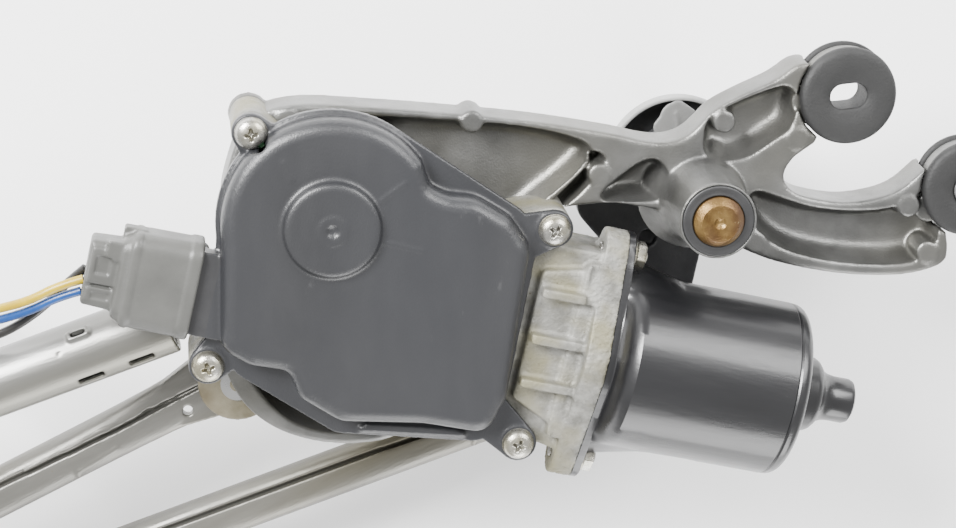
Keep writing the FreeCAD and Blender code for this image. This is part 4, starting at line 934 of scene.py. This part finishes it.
def shaft_profile():
    """A pivot shaft from its thread to its chamfered upper end."""
    profile = [(0, -50.0), (2.9, -50.0), (3.9, -48.9)]
    level = -48.7
    while level < -40.9:
        profile += [(4.0, level), (4.0, level + 0.25), (3.55, level + 0.55), (3.55, level + 0.7)]
        level += 1.0
    profile += [(3.7, -40.0), (6.0, -40.0), (6.3, -39.6), (6.3, -30.0), (7.0, -29.4), (8.0, -28.0),
                (8.0, -9.0), (8.5, -9.0), (8.5, 63.6), (8.3, 63.9), (6.6, 65.8), (6.2, 66.0), (5.6, 65.85),
                (2.1, 65.7), (1.7, 65.3), (0.6, 64.6), (0, 64.5)]
    return profile


def knurled(mesh):
    """Press fine teeth into the arm seat."""
    for vertex in mesh.vertices:
        if -39.8 < vertex.co.z < -29.9 and hypot(vertex.co.x, vertex.co.y) > 5.5:
            angle = atan2(vertex.co.y, vertex.co.x)
            vertex.co.xy *= 0.985 + 0.015 * cos(48 * angle)


def rounded_triangle(x0, y0, x1, y1, x2, y2, radius):
    return rounded([(x0, y0, radius), (x1, y1, radius), (x2, y2, radius)])


def pivots():
    for side, place in (("near", NEAR), ("far", FAR)):
        profile = shaft_profile()
        dense = [profile[0]]
        for (r0, z0), (r1, z1) in zip(profile, profile[1:]):
            parts = 4 if abs(z1 - z0) > 4 else 1
            dense += [(r0 + (r1 - r0) * k / parts, z0 + (z1 - z0) * k / parts) for k in range(1, parts + 1)]
        mesh = Clay().lathe(dense, steps=192).mesh()
        knurled(mesh)
        piece(side + "_shaft", mesh, place, CHROMATE, [side + "_pivot_shaft"], sharp=32)
        # splash cap: a dark bowl whose outer rim is painted light grey, a painted highlight where the rim catches
        # the light
        bowl = [(8.05, -22.0), (19.0, -22.0), (22.0, -21.0), (24.6, -19.0), (26.0, -17.0), (26.4, -12.0),
                (26.2, -11.0), (25.6, -10.7), (24.6, -10.9), (24.2, -11.6), (24.0, -15.6), (22.6, -18.4),
                (20.0, -20.2), (11.0, -20.5), (10.6, -20.0), (10.6, -14.4), (10.2, -14.0), (8.05, -14.0)]
        mesh = worked(Clay().tube(bowl, steps=96).mesh(), [("SUBSURF", {"levels": 1})])
        mesh.materials.append(CAP)
        mesh.materials.append(CAP_RIM_HIGHLIGHT)
        # the outer rim's faces take the painted highlight
        for face in mesh.polygons:
            if hypot(face.center.x, face.center.y) > 24.0 and face.center.z > -16:
                face.material_index = 1
        piece(side + "_cap", mesh, place, CAP, [side + "_splash_cap"])
        # stop plate: a rounded triangle clipped round the boss
        clay = Clay()
        clay.prism(rounded_triangle(-17.5, 10.0, 8.0, 20.0, -3.3, 27.5, 3.0), -3.5, -2.0)
        clay.prism(round_outline(14.0), -3.5, -2.0)
        clay.prism(belt((0, 0, 14), (-3.0, 20.0, 6.0)), -3.5, -2.0)
        clay.rod((-3.3, 22.0, -2.4), (-2.0, 15.0, -2.4), 0.9)
        cuts = Clay().disc(10, -6, 2)
        piece(side + "_stop", moulded(clay, 0.45, 2, cuts), place, GREY, [side + "_stop_plate"])
        seal = [(8.8, 61.2), (11.9, 61.0), (12.2, 61.4), (12.2, 62.6), (11.8, 63.0), (9.8, 62.4), (8.9, 62.9),
                (8.75, 62.4)]
        mesh = worked(Clay().tube(seal, steps=96).mesh(), [("SUBSURF", {"levels": 1})])
        piece(side + "_lip_seal", mesh, place, CAP, [side + "_seal_ring"])


def plate(name, node, place, extra=None, cuts=None, voxel=0.55):
    clay = Clay().node(node, place)
    if extra:
        clay.add(extra.mesh())
    piece(name, moulded(clay, voxel, 4, cuts), place, LEVER, [node])


def levers():
    recess = Clay().disc(4.2, -8.8, -7.4, shifted(-10.7, -24.7), 32)
    plate("near_lever_plate", "near_lever", NEAR, recess)
    plate("far_lever_plate", "far_lever", FAR)
    ball = (crank_ball.x, crank_ball.y)
    arm = Clay().node("crank_arm", PLAN)
    arm.prism(belt((ball[0] * 0.8, ball[1] * 0.8, 12.0), (*ball, 13.9)), 13.3, 17.9)
    arm.lathe([(0, 17), (5.6, 17), (5.4, 18.4), (4.2, 19.1), (0, 19.4)], shifted(*ball), 40)
    piece("crank_plate", moulded(arm, 0.5, 3), PLAN, CRANK_STEEL, ["crank_arm"], slot="link_steel")
    cuts = Clay().disc(4.0, 4, 11.4, steps=40)
    nut = Clay().prism(round_outline(9.8, steps=6), 4.9, 10.3)
    nut.lathe([(0, 4.4), (8.4, 4.4), (8.9, 4.9), (8.9, 10.3), (8.4, 10.8), (0, 10.8)])
    piece("crank_lock_nut", moulded(nut, 0.35, 2, cuts), PLAN, SCREW, ["crank_nut"])


# ---- link rods

def link(name, node, place, span):
    """A sheet rolled into a tube with an open seam, flattened into an eye at each end."""
    clay = Clay()
    steps = 56
    squareness = 0.72
    end = [(13.0, 21.0, 4.6), (17.0, 20.4, 4.8), (22.0, 19.6, 5.4), (30.0, 18.6, 7.0),
           (40.0, 17.8, 9.6), (52.0, 17.2, 12.0), (64.0, 17.0, 13.0)]
    rings = []
    for along, wide, high in end + [(span - x, wide, high) for x, wide, high in end[::-1]]:
        ring = []
        for k in range(steps):
            angle = TURN * k / steps
            c, s = cos(angle), sin(angle)
            y = wide / 2 * copysign(abs(c) ** squareness, c)
            z = high / 2 * copysign(abs(s) ** squareness, s)
            ring.append(Vector((along, y, z)))
        rings.append(ring)
    clay.skin(rings)
    for x, inward in ((0.0, 1.0), (span, -1.0)):
        clay.prism(belt((x, 0, 13.9), (x + inward * 22.0, 0, 9.6)) if inward > 0 else
                   belt((x + inward * 22.0, 0, 9.6), (x, 0, 13.9)), -2.4, 2.4)
    # bead pressed up beside the seam where the tube flattens
    for x, inward in ((0.0, 1.0), (span, -1.0)):
        clay.rod((x + inward * 50.0, 3.4, 4.6), (x + inward * 66.0, 4.6, 5.1), 1.6)
        clay.rod((x + inward * 66.0, 2.4, 5.6), (x + inward * 66.5, 6.6, 5.0), 1.0)
    cuts = Clay()
    # the seam wanders from the middle at the eye to the upper edge along the rod
    seam = [(14.0, -1.8, 0.9), (30.0, -2.0, 0.9), (42.0, -2.2, 1.9), (54.0, -2.6, 2.8), (66.0, -3.0, 3.2),
            (100.0, -4.2, 3.0)]
    seam += [(span - x, y, z) for x, y, z in seam[::-1]]
    for (x0, y0, z0), (x1, y1, z1) in zip(seam, seam[1:]):
        x0, x1 = x0 - 0.4, x1 + 0.4
        foot = [Vector((x0, y0 - 0.8, z0)), Vector((x1, y1 - 0.8, z1)), Vector((x1, y1 + 0.8, z1)),
                Vector((x0, y0 + 0.8, z0))]
        cuts.skin([foot, [p + Vector((0, 0, 9)) for p in foot]])
    for x, inward in ((0.0, 1.0), (span, -1.0)):
        cuts.disc(11.1, -9, 9, shifted(x, 0))
        cuts.disc(1.9, -9, 9, shifted(x + inward * 21.8, 4.3), 24)
        cuts.box(*sorted((x + inward * 33.0, x + inward * 36.0)), -3.4, -1.6, 0.8, 9)
    mesh = moulded(clay, 0.55, 3, cuts)
    piece(name, mesh, place, LINK_STEEL, [node])


def sockets():
    """Ball sockets moulded into the eyes, thick towards the pin's far side."""
    for name, node, place, x, up in (
            ("crank_joint_socket", "drive_link_crank_socket", DRIVE, 0.0, True),
            ("far_joint_socket", "drive_link_far_socket", DRIVE, drive_span, False),
            ("near_lever_socket", "coupling_link_near_socket", COUPLE, 0.0, True),
            ("far_lever_socket", "coupling_link_far_socket", COUPLE, couple_span, True)):
        flip = Matrix() if up else turned(pi, "X")
        where = shifted(x, 0) @ flip
        clay = Clay()
        clay.lathe([(0, -6.0), (9.4, -6.0), (10.6, -5.3), (11.0, -4.2), (11.0, 2.0), (0, 2.0)], where)
        clay.lathe([(0, 2.35), (13.3, 2.35), (13.6, 3.0), (13.5, 4.4), (12.6, 5.2), (10.0, 5.6), (0, 5.7)],
                   where)
        for k in range(8):
            spun = where @ turned(TURN * k / 8)
            clay.rod((7.6, 0, 5.2), (12.0, 0, 4.9), 0.7, place=spun)
        cuts = Clay()
        ball = [(0, -6.6)] + [(6.6 * sin(a * 0.157), -6.6 * cos(a * 0.157)) for a in range(1, 20)]
        cuts.lathe(ball + [(0, 6.6)], where, 48)
        cuts.lathe([(0, 0), (5.8, 0), (5.8, 4.6), (6.9, 7.0), (0, 7.0)], where, 48)
        piece(name, moulded(clay, 0.45, 3, cuts), place, NYLON, [node])


# ---- plug

def plug():
    clay = Clay()
    across = SOCKET_V
    middle = 48.0

    def oblong(u, half, tall, radius):
        """A section of the plug at u: v across and z up."""
        outline = rounded([(-half, -tall, radius), (half, -tall, radius), (half, tall, radius),
                           (-half, tall, radius)])
        return [Vector((u, across + p.x, middle + p.y)) for p in outline]

    collar = [(-65.6, 13.2, 7.4, 4.0), (-65.0, 14.2, 8.2, 4.5), (-62.5, 15.4, 8.7, 5.0),
              (-60.0, 16.4, 9.0, 5.5), (-57.0, 16.6, 9.1, 5.5), (-43.4, 16.7, 9.1, 5.5),
              (-42.8, 17.1, 9.5, 5.6), (-39.8, 17.1, 9.5, 5.6), (-39.2, 16.7, 9.2, 5.4),
              (-39.0, 16.3, 8.8, 5.2)]
    clay.skin([oblong(*station) for station in collar])
    # a raised band where the collar meets the rear body
    clay.skin([oblong(-62.4, 15.9, 9.3, 5.1), oblong(-61.6, 16.5, 9.45, 5.3), oblong(-60.4, 16.8, 9.5, 5.4),
               oblong(-59.6, 16.6, 9.3, 5.3)])
    rear = [(-76.0, 10.6, 5.2, 1.6), (-75.3, 11.3, 5.9, 1.8), (-66.5, 11.8, 6.2, 2.0), (-64.0, 12.0, 6.2, 2.0)]
    clay.skin([oblong(*station) for station in rear])
    clay.box(-75.0, -65.0, across - 3.0, across + 9.4, 53.0, 54.9, 0.6)
    clay.box(-74.6, -65.0, across - 9.4, across - 4.6, 53.0, 54.4, 0.6)
    clay.box(-70.5, -65.0, across + 6.0, across + 12.6, 50.5, 55.6, 0.8)
    clay.box(-66.0, -58.0, across + 12.0, across + 17.0, 45.0, 50.0, 0.8)
    cuts = Clay()
    cuts.box(-53.9, -38.0, across - 14.9, across + 14.9, 40.5, 55.0, 3.2)
    cuts.box(-73.4, -68.2, across + 0.4, across + 6.8, 54.2, 56.0, 0.4)
    cuts.box(-73.8, -66.4, across - 4.4, across - 3.2, 53.2, 56.0, 0.2)
    cuts.box(-73.2, -66.8, across - 8.6, across - 5.6, 53.9, 56.0, 0.3)
    for v in (-4.6, -8.8, 1.2, 6.0):
        cuts.disc(2.05, -3, 2.4,
                   shifted(-76.2, across + v, middle + 0.4) @ turned(pi / 2, "Y"), 24)
    mesh = moulded(clay, 0.42, 3, cuts)
    piece("plug_moulding", mesh, MOTOR, PLUG, ["connector_plug"])


studio()
wires()
cover()
case()
yoke()
screws()
bracket()
far_casting()
frame_tube()
grommets()
pivots()
levers()
link("drive_rod", "drive_link_tube", DRIVE, drive_span)
link("coupling_rod", "coupling_link_tube", COUPLE, couple_span)
sockets()
plug()
